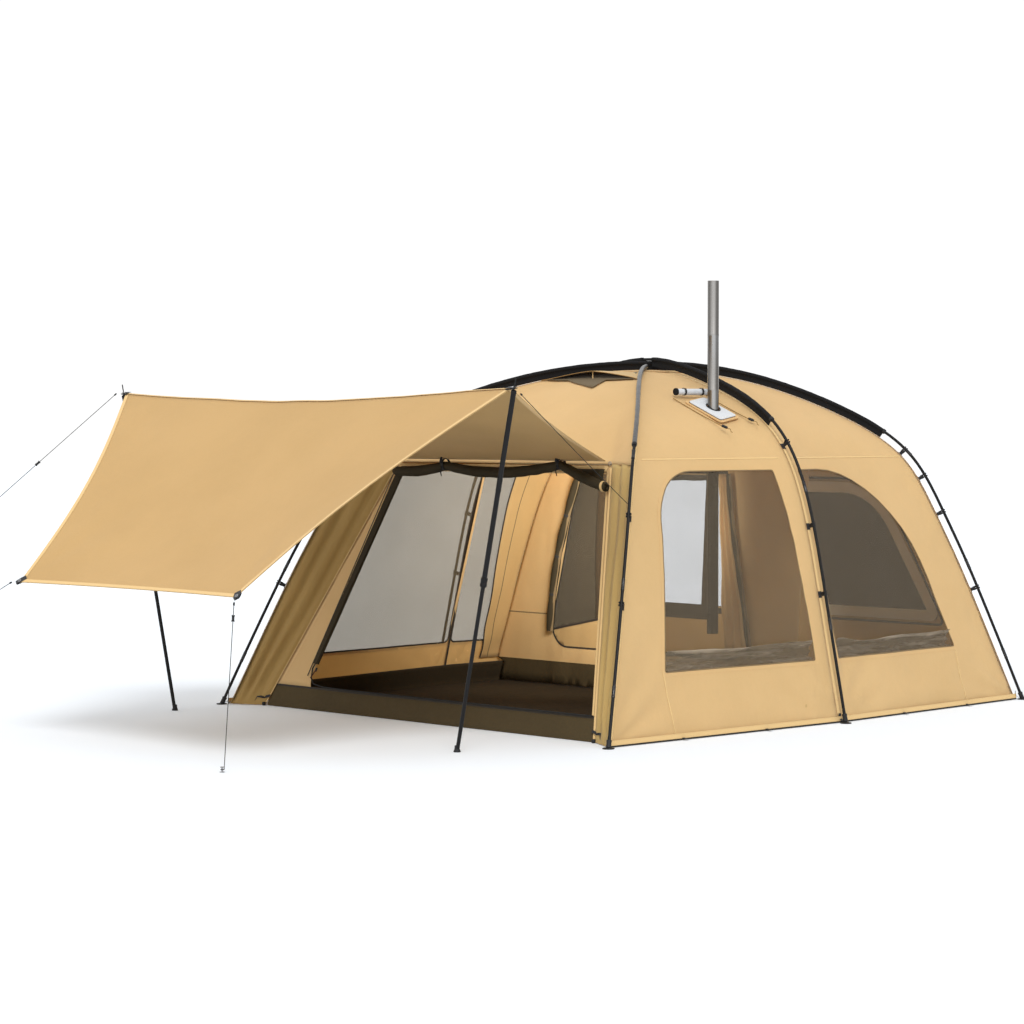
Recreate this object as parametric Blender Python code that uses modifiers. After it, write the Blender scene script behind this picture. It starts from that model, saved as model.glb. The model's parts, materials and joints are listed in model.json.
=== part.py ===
"""Six-legged dome tent with a propped awning, a stove pipe and a tub floor.

Units are metres, +Z is up, -Y is the door side and +X is the side with the stove pipe.
The origin is on the ground in the middle of the six feet's rectangle.
"""

import math

import bmesh
import bpy
import numpy as np
from mathutils import Matrix, Vector

# Frame
FRONT_SPAN = 3.40
LENGTH = 3.90
HEIGHT = 2.18
CROSSING_Y = 0.21
MID_FOOT_OUT = 0.10
POLE_R = 0.0095
CROSS_STEP = 0.023
# Share of the way from foot to crossing, and share of the height, at even steps along a pole
CORNER_PROFILE = ((0, 0), (0.091, 0.259), (0.195, 0.472), (0.314, 0.738), (0.662, 0.944), (1, 1))
MIDDLE_PROFILE = ((0, 0), (0.092, 0.328), (0.209, 0.666), (0.409, 0.860), (0.706, 0.958), (1, 1))
POLE_BOW = 0.045
POLE_BOW_LOW = 0.027
POLE_STEPS = 20

# Feet, sleeves and clips
PLATE_R = 0.034
PLATE_H = 0.006
CUP_WALL = 0.004
CUP_DEPTH = 0.045
FIT = 0.001
SLEEVE_FROM_CORNER = 0.65
SLEEVE_FROM_MIDDLE = 0.60
SLEEVE_TO = 0.95
SLEEVE_WALL = 0.004
FIN_HALF = 0.003
FIN_GAP = 0.0045
CLIP_WIDTH = 0.018
CLIP_HOLE = 0.002
CLIP_BITE = 0.008

# Fabric
STAND_OFF = 0.050
CLOTH = 0.0025
SEAM_GAP = 0.006
PANEL_TOP = 0.945
PANEL_ROWS = 12
WALL_SAG = 0.030
TUB_HEIGHT = 0.134
TUB_INSET = 0.075
TUB_LEAN = 0.035
TUB_WALL = 0.003
FLOOR_T = 0.003

# Front wall, eave and door
WALL_FOOT_X = 1.45
WALL_FOOT_Y = -1.80
EAVE_X = 0.933
EAVE_Y = -1.114
EAVE_Z = 1.546
DOOR_LOW_X = 1.03
DOOR_TOP_X = 0.875
DOOR_TOP_Z = 1.49
DOOR_CORNER = 0.12
ZIP_HEIGHT = 0.24
ZIP_OUT = 0.03
SLIDER = (0.014, 0.032, 0.007)

# Side windows, in the side view: along the tent and up
WINDOW_BACK = 0.105
WINDOW_LOW_END = 1.36
WINDOW_HIGH_END = 1.06
WINDOW_LOW_Z = {-1: 0.29, 1: 0.375}
WINDOW_TOP_Z = 1.505
WINDOW_CORNER = {-1: 0.26, 1: 0.48}
NET_T = 0.0015
NET_GAP = 0.002
REAR_WINDOW_IN = 0.16
REAR_WINDOW_LOW_X = 1.20
REAR_WINDOW_TOP_X = 0.92
REAR_WINDOW_LOW_Z = 0.50
REAR_WINDOW_TOP_Z = 1.40
REAR_WINDOW_CORNER = 0.40

# Partition between the rooms: its door runs from left to right at the sill, then at the top
PARTITION_Y = 0.45
PARTITION_LEAN = 0.10
PARTITION_TOP = 1.92
PARTITION_GAP = 0.030
PARTITION_LOW = (0.012, 0.150, 0.175)
INNER_SILL = 0.27
INNER_DOOR = (-1.16, 0.66, -0.98, 0.32)
INNER_DOOR_TOP = 1.56

# Stove pipe and its jack
PIPE_R = 0.035
PIPE_WALL = 0.0012
PIPE_XY = (0.92, -0.203)
PIPE_LOW = 0.50
PIPE_TOP = 2.66
JACK_WIDTH = 0.21
JACK_LENGTH = 0.30
JACK_T = 0.004
JACK_UV = (0.71, 0.667)
FLAP_ROLL_R = 0.022

# Roof vent: share of the roof's width, and how far up the poles its edge and hinge are
VENT_SPAN = 0.93
VENT_SHARES = (0.838, 0.905)
VENT_GAP = 0.009
VENT_LIFT = 0.055
STRUT_R = 0.005

# Covers of the rear windows: the right one is propped out, the left one is rolled up
COVER_MARGIN = 0.06
COVER_TOP_Z = 1.45
COVER_DROP = 0.86
COVER_TILT = math.radians(13)
COVER_ROLL_R = 0.030

# Awning
TIP = Vector((1.72, -2.694, 1.975))
AWNING_FOOT = {1: Vector((1.221, -2.641, 0.0)), -1: Vector((-1.60, -2.40, 0.0))}
AWNING_REAR = Vector((0.925, -1.150, 1.568))
AWNING_LOW = Vector((0.985, -3.978, 0.890))
RIDGE_SAG = 0.055
HEM_CURVE = 0.11
AWNING_T = 0.0025
OUTER_TUBE_R = 0.014
INNER_TUBE_R = 0.011
TUBE_FIT = 0.0006
TUBE_WALL = 0.0015
LOWER_TUBE = 1.10
TUBE_LAP = 0.16
TELESCOPE = 0.30
TIP_SPIKE = 0.055

# Cords and pegs
CORD_R = 0.002
PEG_FAR_RIDGE = Vector((-2.96, -4.58, 0.0))
PEG_FAR_CORNER = Vector((-2.77, -4.39, 0.0))
PEG_NEAR_CORNER = Vector((1.014, -4.10, 0.0))
PEG_HEIGHT = 0.030
PEG_R = 0.005
RUNNER_LENGTH = 0.034

UP = Vector((0, 0, 1))
CLEARANCE = 0.0004

parts = bpy.data.collections.new("dome_tent")
cutters = bpy.data.collections.new("cutters")


def clear_scene():
    for old in list(bpy.data.objects):
        bpy.data.objects.remove(old)
    bpy.context.scene.collection.children.link(parts)
    bpy.context.scene.collection.children.link(cutters)


def material(name, colour, roughness, metallic=0.0):
    mat = bpy.data.materials.get(name)
    if mat:
        return mat
    mat = bpy.data.materials.new(name)
    mat.use_nodes = True
    shader = mat.node_tree.nodes["Principled BSDF"]
    shader.inputs["Base Color"].default_value = (*colour, 1)
    shader.inputs["Roughness"].default_value = roughness
    shader.inputs["Metallic"].default_value = metallic
    mat.diffuse_color = (*colour, 1)
    return mat


def canvas():
    return material("sand_canvas", (0.66, 0.44, 0.20), 0.85)


def dark_cloth():
    return material("brown_groundsheet", (0.065, 0.048, 0.033), 0.6)


def net_cloth():
    return material("brown_net", (0.16, 0.13, 0.10), 0.8)


def black_web():
    return material("black_webbing", (0.012, 0.012, 0.012), 0.7)


def pole_metal():
    return material("dark_anodised_pole", (0.035, 0.036, 0.04), 0.35, 0.8)


def steel():
    return material("brushed_steel", (0.60, 0.57, 0.52), 0.3, 1.0)


def black_plastic():
    return material("black_plastic", (0.02, 0.02, 0.02), 0.5)


def jack_cloth():
    return material("white_stove_cloth", (0.75, 0.74, 0.72), 0.7)


def add(name, mesh, mat, collection=parts):
    piece = bpy.data.objects.new(name, mesh)
    piece.data.materials.append(mat)
    collection.objects.link(piece)
    return piece


def as_mesh(name, bm):
    bmesh.ops.recalc_face_normals(bm, faces=bm.faces)
    mesh = bpy.data.meshes.new(name)
    bm.to_mesh(mesh)
    bm.free()
    return mesh


def smooth(piece, angle=40):
    piece.data.shade_smooth()
    piece.data.set_sharp_from_angle(angle=math.radians(angle))


def frozen(piece):
    """The piece with its modifiers, or its curve, turned into a plain mesh under the same name."""
    graph = bpy.context.evaluated_depsgraph_get()
    mesh = bpy.data.meshes.new_from_object(piece.evaluated_get(graph))
    name, place, mat = piece.name, piece.matrix_world.copy(), piece.data.materials[0]
    home = piece.users_collection[0]
    bpy.data.objects.remove(piece)
    bm = bmesh.new()
    bm.from_mesh(mesh)
    bmesh.ops.remove_doubles(bm, verts=bm.verts, dist=1e-6)
    bmesh.ops.recalc_face_normals(bm, faces=bm.faces)
    bm.to_mesh(mesh)
    bm.free()
    made = bpy.data.objects.new(name, mesh)
    made.matrix_world = place
    mesh.materials.clear()
    mesh.materials.append(mat)
    home.objects.link(made)
    return made


def combine(piece, other, operation):
    """A Boolean of two closed meshes, applied at once. The second one is used up."""
    step = piece.modifiers.new(operation.lower(), "BOOLEAN")
    step.operation = operation
    step.object = other
    bpy.context.view_layer.update()
    made = frozen(piece)
    bpy.data.objects.remove(other)
    return made


def cylinder(name, radius, start, end, mat, sides=16, top_radius=None, collection=parts):
    """A closed round bar, or a taper, between two points."""
    axis = end - start
    bm = bmesh.new()
    bmesh.ops.create_cone(
        bm, cap_ends=True, segments=sides, radius1=radius,
        radius2=radius if top_radius is None else top_radius, depth=axis.length,
    )
    turn = axis.to_track_quat("Z", "Y").to_matrix().to_4x4()
    bmesh.ops.transform(bm, matrix=Matrix.Translation((start + end) / 2) @ turn, verts=bm.verts)
    return add(name, as_mesh(name, bm), mat, collection)


def box(name, size, frame, mat, collection=parts):
    """A box of the given size whose middle and axes are those of the frame."""
    bm = bmesh.new()
    bmesh.ops.create_cube(bm, size=1.0)
    bmesh.ops.scale(bm, vec=size, verts=bm.verts)
    bmesh.ops.transform(bm, matrix=frame, verts=bm.verts)
    return add(name, as_mesh(name, bm), mat, collection)


def prism(name, outline, depth_axis, low, high, mat):
    """A closed prism: outline points in the two other axes, drawn out along depth_axis."""
    bm = bmesh.new()
    corners = []
    for a, b in outline:
        point = [a, b]
        point.insert(depth_axis, low)
        corners.append(bm.verts.new(point))
    face = bm.faces.new(corners)
    grown = bmesh.ops.extrude_face_region(bm, geom=[face])
    move = [0.0, 0.0, 0.0]
    move[depth_axis] = high - low
    moved = [v for v in grown["geom"] if isinstance(v, bmesh.types.BMVert)]
    bmesh.ops.translate(bm, vec=move, verts=moved)
    piece = add(name, as_mesh(name, bm), mat, cutters)
    piece.hide_render = True
    piece.display_type = "WIRE"
    return piece


def tube(name, points, radius, mat, resolution=2, collection=parts):
    """A round bar along a line of points."""
    curve = bpy.data.curves.new(name, "CURVE")
    curve.dimensions = "3D"
    curve.bevel_depth = radius
    curve.bevel_resolution = resolution
    curve.use_fill_caps = True
    line = curve.splines.new("POLY")
    line.points.add(len(points) - 1)
    for spot, point in zip(line.points, points):
        spot.co = (*point, 1)
    return add(name, curve, mat, collection)


def sheet(name, place, across, along, thickness, mat, outward, offset=-1.0, u_range=(0, 1), v_range=(0, 1)):
    """A cloth panel: a grid laid on place(u, v) and given its thickness on the inner side."""
    bm = bmesh.new()
    bmesh.ops.create_grid(bm, x_segments=across, y_segments=along, size=0.5)
    for vert in bm.verts:
        u = u_range[0] + (vert.co.x + 0.5) * (u_range[1] - u_range[0])
        v = v_range[0] + (vert.co.y + 0.5) * (v_range[1] - v_range[0])
        vert.co = place(u, v)
    bm.normal_update()
    facing = sum((f.normal for f in bm.faces), Vector())
    if facing.dot(outward) < 0:
        bmesh.ops.reverse_faces(bm, faces=bm.faces)
    mesh = bpy.data.meshes.new(name)
    bm.to_mesh(mesh)
    bm.free()
    piece = add(name, mesh, mat)
    solid = piece.modifiers.new("thickness", "SOLIDIFY")
    solid.thickness = thickness
    solid.offset = offset
    solid.use_even_offset = True
    return frozen(piece)


def spline(values, t, flat_end=False):
    """A natural cubic through evenly spaced values, level at its end if flat_end is set."""
    count = len(values)
    rows = np.zeros((count, count))
    right = np.zeros(count)
    rows[0, 0] = rows[-1, -1] = 1
    for i in range(1, count - 1):
        rows[i, i - 1 : i + 2] = 1, 4, 1
        right[i] = 6 * (values[i - 1] - 2 * values[i] + values[i + 1])
    if flat_end:
        rows[-1, -2:] = 1, 2
        right[-1] = -6 * (values[-1] - values[-2])
    bend = np.linalg.solve(rows, right)
    place = t * (count - 1)
    i = min(int(place), count - 2)
    f = place - i
    g = 1 - f
    straight = g * values[i] + f * values[i + 1]
    return float(straight + ((g**3 - g) * bend[i] + (f**3 - f) * bend[i + 1]) / 6)


def foot_point(side, end):
    out = MID_FOOT_OUT if end == 0 else 0.0
    return Vector((side * (FRONT_SPAN / 2 + out), end * LENGTH / 2, 0.0))


def leg(side, end, t):
    """Centreline of a pole from its foot (t = 0) to the crossing (t = 1)."""
    profile = MIDDLE_PROFILE if end == 0 else CORNER_PROFILE
    share = spline([p[0] for p in profile], t)
    height = spline([p[1] for p in profile], t, flat_end=True)
    foot = foot_point(side, end)
    way = Vector((0, CROSSING_Y, 0)) - foot
    point = foot + share * way
    if end:
        inward = way.normalized()
        across = Vector((side * abs(inward.y), -end * abs(inward.x), 0))
        bow = POLE_BOW * math.sin(math.pi * share) + POLE_BOW_LOW * math.sin(2 * math.pi * share)
        point += across * bow
    point.z = height * HEIGHT
    return point


def leg_frame(side, end, t):
    """Direction up the pole and the direction from the pole square to it towards the cloth."""
    along = (leg(side, end, min(t + 0.01, 1)) - leg(side, end, max(t - 0.01, 0))).normalized()
    inward = Vector((0, CROSSING_Y, 0)) - foot_point(side, end)
    inward.normalize()
    towards = inward * along.z - UP * along.dot(inward)
    return along, towards.normalized()


def ridge(side, end, t, off=STAND_OFF):
    """The line of the cloth under a pole."""
    point = leg(side, end, t) + leg_frame(side, end, t)[1] * off
    point.z = max(point.z, CLEARANCE * 10)
    return point


def shifted(start, other, distance):
    gap = other - start
    return start + gap * min(0.4, distance / max(gap.length, 1e-6))


def sector(side, ends, u, v, inset=0.0):
    """Side or rear cloth between two legs, drawn in a little between them."""
    (side_a, end_a), (side_b, end_b) = ends
    a = ridge(side_a, end_a, v)
    b = ridge(side_b, end_b, v)
    a, b = shifted(a, b, SEAM_GAP), shifted(b, a, SEAM_GAP)
    point = a.lerp(b, u)
    sag = (WALL_SAG * math.sin(math.pi * min(v / 0.6, 1)) * 4 * u * (1 - u)) + inset
    return point - side * sag


def height_share(height):
    """The t of a front ridge at which the cloth is at this height."""
    low, high = 0.0, 1.0
    for _ in range(40):
        middle = (low + high) / 2
        low, high = (middle, high) if ridge(1, -1, middle).z < height else (low, middle)
    return low


def wall_edge(side, height):
    """The edge between the set-back front wall and its wing."""
    share = height / EAVE_Z
    return Vector((
        side * (WALL_FOOT_X + (EAVE_X - WALL_FOOT_X) * share),
        WALL_FOOT_Y + (EAVE_Y - WALL_FOOT_Y) * share,
        height,
    ))


def roof_point(u, v):
    """Front roof between the two front poles, set back over the door's eave."""
    a, b = ridge(-1, -1, v), ridge(1, -1, v)
    a, b = shifted(a, b, SEAM_GAP), shifted(b, a, SEAM_GAP)
    point = a.lerp(b, u)
    start = height_share(EAVE_Z)
    fade = 1 - min(1.0, (v - start) / (PANEL_TOP - start))
    edge = min(u, 1 - u)
    rise = min(1.0, edge / ((1 - EAVE_X / ridge(1, -1, start).x) / 2))
    point.y += (EAVE_Y - ridge(1, -1, start).y) * rise * fade
    return point


def make_poles():
    pairs = (("pole_front_right_to_rear_left", 1, -1, -CROSS_STEP), ("pole_front_left_to_rear_right", -1, -1, 0.0))
    for name, side, end, lift in pairs:
        make_pole(name, (side, end), (-side, -end), lift)
    make_pole("pole_middle_hoop", (1, 0), (-1, 0), CROSS_STEP)


def pole_line(first, last, lift):
    shares = [foot_share(first)] + [i / POLE_STEPS for i in range(1, POLE_STEPS + 1)]
    points = [leg(*first, t) + UP * lift * crossing_ease(t) for t in shares]
    points += [leg(*last, t) + UP * lift * crossing_ease(t) for t in reversed(shares[:-1])]
    return points


def foot_share(which):
    """The t at which a pole stands just clear of the floor of its cup."""
    low, high = 0.0, 0.05
    for _ in range(40):
        middle = (low + high) / 2
        low, high = (middle, high) if leg(*which, middle).z < PLATE_H + CLEARANCE * 1.5 else (low, middle)
    return high


def crossing_ease(t):
    """How much of the pole's lift over or under the others it has here."""
    share = max(0.0, (t - 0.5) / 0.5)
    return share * share * (3 - 2 * share)


def make_pole(name, first, last, lift):
    tube(name, pole_line(first, last, lift), POLE_R, pole_metal())


def leg_lift(side, end):
    if end == 0:
        return CROSS_STEP
    return -CROSS_STEP if side * end < 0 else 0.0


def make_foot(side, end, name):
    """A ground plate with a leaning cup that the pole stands in."""
    foot = foot_point(side, end)
    start = leg(side, end, foot_share((side, end)))
    along = (leg(side, end, 1 / POLE_STEPS) - start).normalized()
    start -= along * CLEARANCE * 3
    plate = cylinder(name, PLATE_R, foot, foot + UP * PLATE_H, black_plastic(), 14)
    cup = cylinder("cup", POLE_R + FIT + CUP_WALL, start, start + along * CUP_DEPTH, black_plastic(), 12)
    plate = combine(plate, cup, "UNION")
    bore = cylinder("bore", POLE_R + FIT, start, start + along * CUP_DEPTH * 2, black_plastic(), 12)
    return combine(plate, bore, "DIFFERENCE")


def sweep(name, frames, mat):
    """A closed sleeve: each frame's outline, an outer ring and an inner ring, joined along the frames."""
    bm = bmesh.new()
    loops = []
    for origin, across, away, outline in frames:
        loops.append([[bm.verts.new(origin + across * a + away * b) for a, b in ring] for ring in outline])
    for near, far in zip(loops, loops[1:]):
        for ring in (0, 1):
            count = len(near[ring])
            for i in range(count):
                j = (i + 1) % count
                bm.faces.new((near[ring][i], near[ring][j], far[ring][j], far[ring][i]))
    for outer, inner in (loops[0], loops[-1]):
        for i in range(len(outer)):
            j = (i + 1) % len(outer)
            bm.faces.new((outer[i], outer[j], inner[j], inner[i]))
    return add(name, as_mesh(name, bm), mat)


def sleeve_outline(fin):
    """Teardrop round the pole with a fin of this reach down to the cloth, and the pole's hole."""
    outer_r = POLE_R + FIT + SLEEVE_WALL
    angles = [math.radians(-60 + 300 * i / 8) for i in range(9)]
    ring = [(outer_r * math.cos(angle), -outer_r * math.sin(angle)) for angle in angles]
    neck = max(fin * 0.55, outer_r * 0.95)
    outer = ring + [(-FIN_HALF, neck), (-FIN_HALF, fin), (FIN_HALF, fin), (FIN_HALF, neck)]
    hole_r = POLE_R + FIT
    angles += [math.radians(240 + 12 * i) for i in range(1, 5)]
    inner = [(hole_r * math.cos(angle), -hole_r * math.sin(angle)) for angle in angles]
    return outer, inner


def make_sleeve(side, end, name):
    start = SLEEVE_FROM_MIDDLE if end == 0 else SLEEVE_FROM_CORNER
    lift = leg_lift(side, end)
    frames = []
    for i in range(round(start * POLE_STEPS), round(SLEEVE_TO * POLE_STEPS) + 1):
        t = i / POLE_STEPS
        along, towards = leg_frame(side, end, t)
        rise = lift * crossing_ease(t)
        outline = sleeve_outline(STAND_OFF - FIN_GAP + min(rise, 0.0))
        frames.append((leg(side, end, t) + UP * rise, along.cross(towards), towards, outline))
    return sweep(name, frames, black_web())


def clip_shares(end):
    return (0.20, 0.34, 0.50) if end == 0 else (0.30, 0.43, 0.54)


def on_chords(line, t, step):
    """A point of a line that is drawn as straight pieces, each of one step."""
    i = int(t / step)
    return line(i * step).lerp(line((i + 1) * step), t / step - i)


def add_clips(panel, side, end, other, shares):
    """Webbing tabs sewn to the panel's edge, each with a hook round the pole."""
    for t in shares:
        along, towards = leg_frame(side, end, t)
        centre = on_chords(lambda share: leg(side, end, share), t, 1 / POLE_STEPS)
        edge = on_chords(lambda share: ridge(side, end, share), t, PANEL_TOP / PANEL_ROWS)
        sewn = shifted(edge, other(t), SEAM_GAP + 0.012)
        reach = sewn - centre
        out = reach.normalized()
        width = out.cross(along).normalized()
        turn = Matrix((along, width, out)).transposed().to_4x4()
        middle = centre + out * (reach.length + CLIP_BITE + POLE_R) / 2
        size = (CLIP_WIDTH, 0.004, reach.length + CLIP_BITE - POLE_R)
        strap = box("strap", size, Matrix.Translation(middle) @ turn, canvas())
        half = along * CLIP_WIDTH / 2
        hook_r = POLE_R + CLIP_HOLE + 0.004
        hook = cylinder("hook", hook_r, centre - half, centre + half, canvas(), 8)
        strap = combine(strap, hook, "UNION")
        bore = cylinder("bore", POLE_R + CLIP_HOLE, centre - half * 3, centre + half * 3, canvas(), 8)
        strap = combine(strap, bore, "DIFFERENCE")
        panel = combine(panel, strap, "UNION")
    return panel


def rounded(points, radii, steps=6):
    """The outline with its corners rounded by arcs."""
    outline = []
    count = len(points)
    for i, radius in enumerate(radii):
        corner = Vector(points[i])
        before = (Vector(points[i - 1]) - corner).normalized()
        after = (Vector(points[(i + 1) % count]) - corner).normalized()
        if radius <= 0:
            outline.append(tuple(corner))
            continue
        half = before.angle(after) / 2
        reach = radius / math.tan(half)
        centre = corner + (before + after).normalized() * radius / math.sin(half)
        start = corner + before * reach - centre
        finish = corner + after * reach - centre
        turn = math.atan2(start.x * finish.y - start.y * finish.x, start.dot(finish))
        first = math.atan2(start.y, start.x)
        for k in range(steps + 1):
            angle = first + turn * k / steps
            outline.append((centre.x + radius * math.cos(angle), centre.y + radius * math.sin(angle)))
    return outline


def side_window(side, end, inset):
    """Side-view outline (y, z) of a window, drawn in by inset."""
    low = WINDOW_LOW_Z[side] + inset
    top = WINDOW_TOP_Z - inset
    lean = (WINDOW_HIGH_END - WINDOW_LOW_END) / (WINDOW_TOP_Z - WINDOW_LOW_Z[1])
    low_end = WINDOW_LOW_END + lean * (WINDOW_LOW_Z[side] - WINDOW_LOW_Z[1]) - inset * 1.2
    high_end = low_end + lean * (top - low)
    corners = [
        (end * (WINDOW_BACK + inset), low), (end * low_end, low),
        (end * high_end, top), (end * (WINDOW_BACK + inset), top),
    ]
    return rounded(corners, (0, 0, WINDOW_CORNER[end] - inset, 0))


def rear_window(side, inset):
    """Rear-view outline (x, z) of one of the two windows in the rear wall."""
    low, top = REAR_WINDOW_LOW_Z + inset, REAR_WINDOW_TOP_Z - inset
    inner, wide, narrow = REAR_WINDOW_IN + inset, REAR_WINDOW_LOW_X - inset, REAR_WINDOW_TOP_X - inset
    corners = [(side * inner, low), (side * wide, low), (side * narrow, top), (side * inner, top)]
    return rounded(corners, (0, 0, REAR_WINDOW_CORNER - inset, 0), 6)


def door_outline():
    low = TUB_HEIGHT - 0.2
    points = [
        (-DOOR_LOW_X, low), (DOOR_LOW_X, low), (DOOR_LOW_X, TUB_HEIGHT),
        (DOOR_TOP_X, DOOR_TOP_Z), (-DOOR_TOP_X, DOOR_TOP_Z), (-DOOR_LOW_X, TUB_HEIGHT),
    ]
    return rounded(points, (0, 0, 0, DOOR_CORNER, DOOR_CORNER, 0), 4)


def overlap(panel_piece, cutter):
    return combine(panel_piece, cutter, "INTERSECT")


def window_pair(panel, net, outline, axis, low, high):
    """Cuts the opening in the panel and trims the net that fills it."""
    hole = prism("hole", outline(0.0), axis, low, high, canvas())
    panel = combine(panel, hole, "DIFFERENCE")
    inside = prism("inside", outline(NET_GAP), axis, low, high, canvas())
    return panel, overlap(net, inside)


def make_side(side, end):
    """One of the four side panels, with its window and net."""
    word = ("left" if side < 0 else "right") + ("_front" if end < 0 else "_rear")
    pair = ((side, end), (side, 0)) if end < 0 else ((side, 0), (side, end))

    def place(u, v):
        point = sector(Vector((side, 0, 0)), pair, u, v)
        return point

    panel = sheet("side_" + word, place, 8, PANEL_ROWS, CLOTH, canvas(), Vector((side, 0, 0)), v_range=(0, PANEL_TOP))
    net = sheet("window_net_" + word, place, 8, PANEL_ROWS, NET_T, net_cloth(), Vector((side, 0, 0)), v_range=(0.05, 0.7))
    low, high = (0.9, 2.2) if side > 0 else (-2.2, -0.9)
    panel, net = window_pair(panel, net, lambda inset: side_window(side, end, inset), 0, low, high)
    if side > 0 and end < 0:
        panel = stove_opening(panel)
    panel = add_clips(panel, side, end, lambda t: ridge(side, 0, t), clip_shares(end))
    if end < 0:
        panel = add_clips(panel, side, 0, lambda t: ridge(side, end, t), clip_shares(0))
    return panel, net


def make_rear():
    def place(u, v):
        return sector(Vector((0, 1, 0)), ((-1, 1), (1, 1)), u, v)

    back = Vector((0, 1, 0))
    panel = sheet("rear_wall", place, 8, PANEL_ROWS, CLOTH, canvas(), back, v_range=(0, PANEL_TOP))
    for side, word in ((-1, "left"), (1, "right")):
        name = "window_net_rear_" + word
        net = sheet(name, place, 8, PANEL_ROWS, NET_T, net_cloth(), back, v_range=(0.05, 0.7))
        panel = window_pair(panel, net, lambda inset: rear_window(side, inset), 1, 0.8, 2.4)[0]


def make_front():
    top = height_share(EAVE_Z) - 0.004
    low = TUB_HEIGHT + CLEARANCE * 4

    def wall(u, v):
        height = low + (EAVE_Z - 0.008 - low) * v
        a, b = wall_edge(-1, height), wall_edge(1, height)
        a, b = shifted(a, b, SEAM_GAP), shifted(b, a, SEAM_GAP)
        return a.lerp(b, u)

    front = Vector((0, -1, 0))
    panel = sheet("front_wall", wall, 6, 6, CLOTH, canvas(), front)
    hole = prism("hole", door_outline(), 1, -2.4, -0.8, canvas())
    combine(panel, hole, "DIFFERENCE")
    for side, word in ((-1, "left"), (1, "right")):

        def wing(u, v):
            corner = ridge(side, -1, v)
            inner = wall_edge(side, corner.z)
            a, b = shifted(corner, inner, SEAM_GAP), shifted(inner, corner, SEAM_GAP)
            return a.lerp(b, u)

        sheet("wing_" + word, wing, 3, 12, CLOTH, canvas(), front, offset=1.0, v_range=(0, top))
    start = height_share(EAVE_Z) + 0.004
    sheet("roof_front", roof_point, 16, 7, CLOTH, canvas(), front + UP, v_range=(start, PANEL_TOP))


def make_crown():
    """The cap sewn over the place where the six panels meet."""
    legs = ((1, -1), (1, 0), (1, 1), (-1, 1), (-1, 0), (-1, -1))
    rings = (0.915, 0.945, 0.972)
    bm = bmesh.new()
    loops = []
    for v in rings:
        loop = []
        for i, first in enumerate(legs):
            last = legs[(i + 1) % 6]
            for k in range(4):
                loop.append(bm.verts.new(crown_point(first, v).lerp(crown_point(last, v), k / 4)))
        loops.append(loop)
    for near, far in zip(loops, loops[1:]):
        for i in range(24):
            j = (i + 1) % 24
            bm.faces.new((near[i], near[j], far[j], far[i]))
    bm.faces.new(loops[-1])
    mesh = as_mesh("crown_patch", bm)
    piece = add("crown_patch", mesh, canvas())
    solid = piece.modifiers.new("thickness", "SOLIDIFY")
    solid.thickness = 0.0015
    solid.offset = 1.0
    frozen(piece)


def crown_point(which, v):
    return ridge(*which, v, STAND_OFF - 0.0012)


def offset_outline(points, inset):
    """A convex outline, counter-clockwise, with every side moved inward."""
    moved = []
    count = len(points)
    for i in range(count):
        here, before, after = points[i], points[i - 1], points[(i + 1) % count]
        n1 = Vector((-(here - before).y, (here - before).x)).normalized()
        n2 = Vector((-(after - here).y, (after - here).x)).normalized()
        moved.append(here + (n1 + n2) * inset / (1 + n1.dot(n2)))
    return moved


def tub_outline():
    """Plan of the groundsheet: the walls' base line, drawn in."""
    points = [Vector((WALL_FOOT_X - 0.012, WALL_FOOT_Y))]
    for end in (0, 1):
        base = ridge(1, end, 0)
        points.append(Vector((base.x, base.y)) - Vector((TUB_INSET, TUB_INSET * end)))
    points += [Vector((-p.x, p.y)) for p in reversed(points)]
    return points


def make_tub():
    outline = tub_outline()
    lean = Vector((0, (EAVE_Y - WALL_FOOT_Y) / EAVE_Z * TUB_HEIGHT))
    upper = offset_outline(outline, TUB_LEAN)
    for i in (0, -1):
        upper[i] = Vector((upper[i].x, outline[i].y + lean.y))
    bm = bmesh.new()
    loops = []
    inner_low = offset_outline(outline, TUB_WALL + TUB_LEAN * FLOOR_T / TUB_HEIGHT)
    inner_high = offset_outline(upper, TUB_WALL)
    for ring, height in ((outline, 0.0), (upper, TUB_HEIGHT), (inner_high, TUB_HEIGHT), (inner_low, FLOOR_T)):
        loops.append([bm.verts.new((p.x, p.y, height)) for p in ring])
    for near, far in zip(loops, loops[1:]):
        for i in range(len(near)):
            j = (i + 1) % len(near)
            bm.faces.new((near[i], near[j], far[j], far[i]))
    bm.faces.new(loops[0])
    bm.faces.new(loops[-1])
    return add("groundsheet", as_mesh("groundsheet", bm), dark_cloth())


def jack_frame():
    """Middle of the stove jack on the roof cloth and its axes: along the tent, down the slope, outward."""
    side = Vector((1, 0, 0))
    pair = ((1, -1), (1, 0))
    u, v = JACK_UV
    middle = sector(side, pair, u, v)
    along = (sector(side, pair, u + 0.05, v) - sector(side, pair, u - 0.05, v)).normalized()
    down = (sector(side, pair, u, v - 0.02) - sector(side, pair, u, v + 0.02)).normalized()
    out = along.cross(down).normalized()
    if out.z < 0:
        out = -out
    down = out.cross(along).normalized()
    if down.z > 0:
        down = -down
    return middle, along, down, out


def stove_opening(panel):
    low = Vector((*PIPE_XY, PIPE_LOW))
    high = Vector((*PIPE_XY, PIPE_TOP))
    hole = cylinder("hole", PIPE_R + 0.035, low, high, canvas(), 24)
    return combine(panel, hole, "DIFFERENCE")


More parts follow.
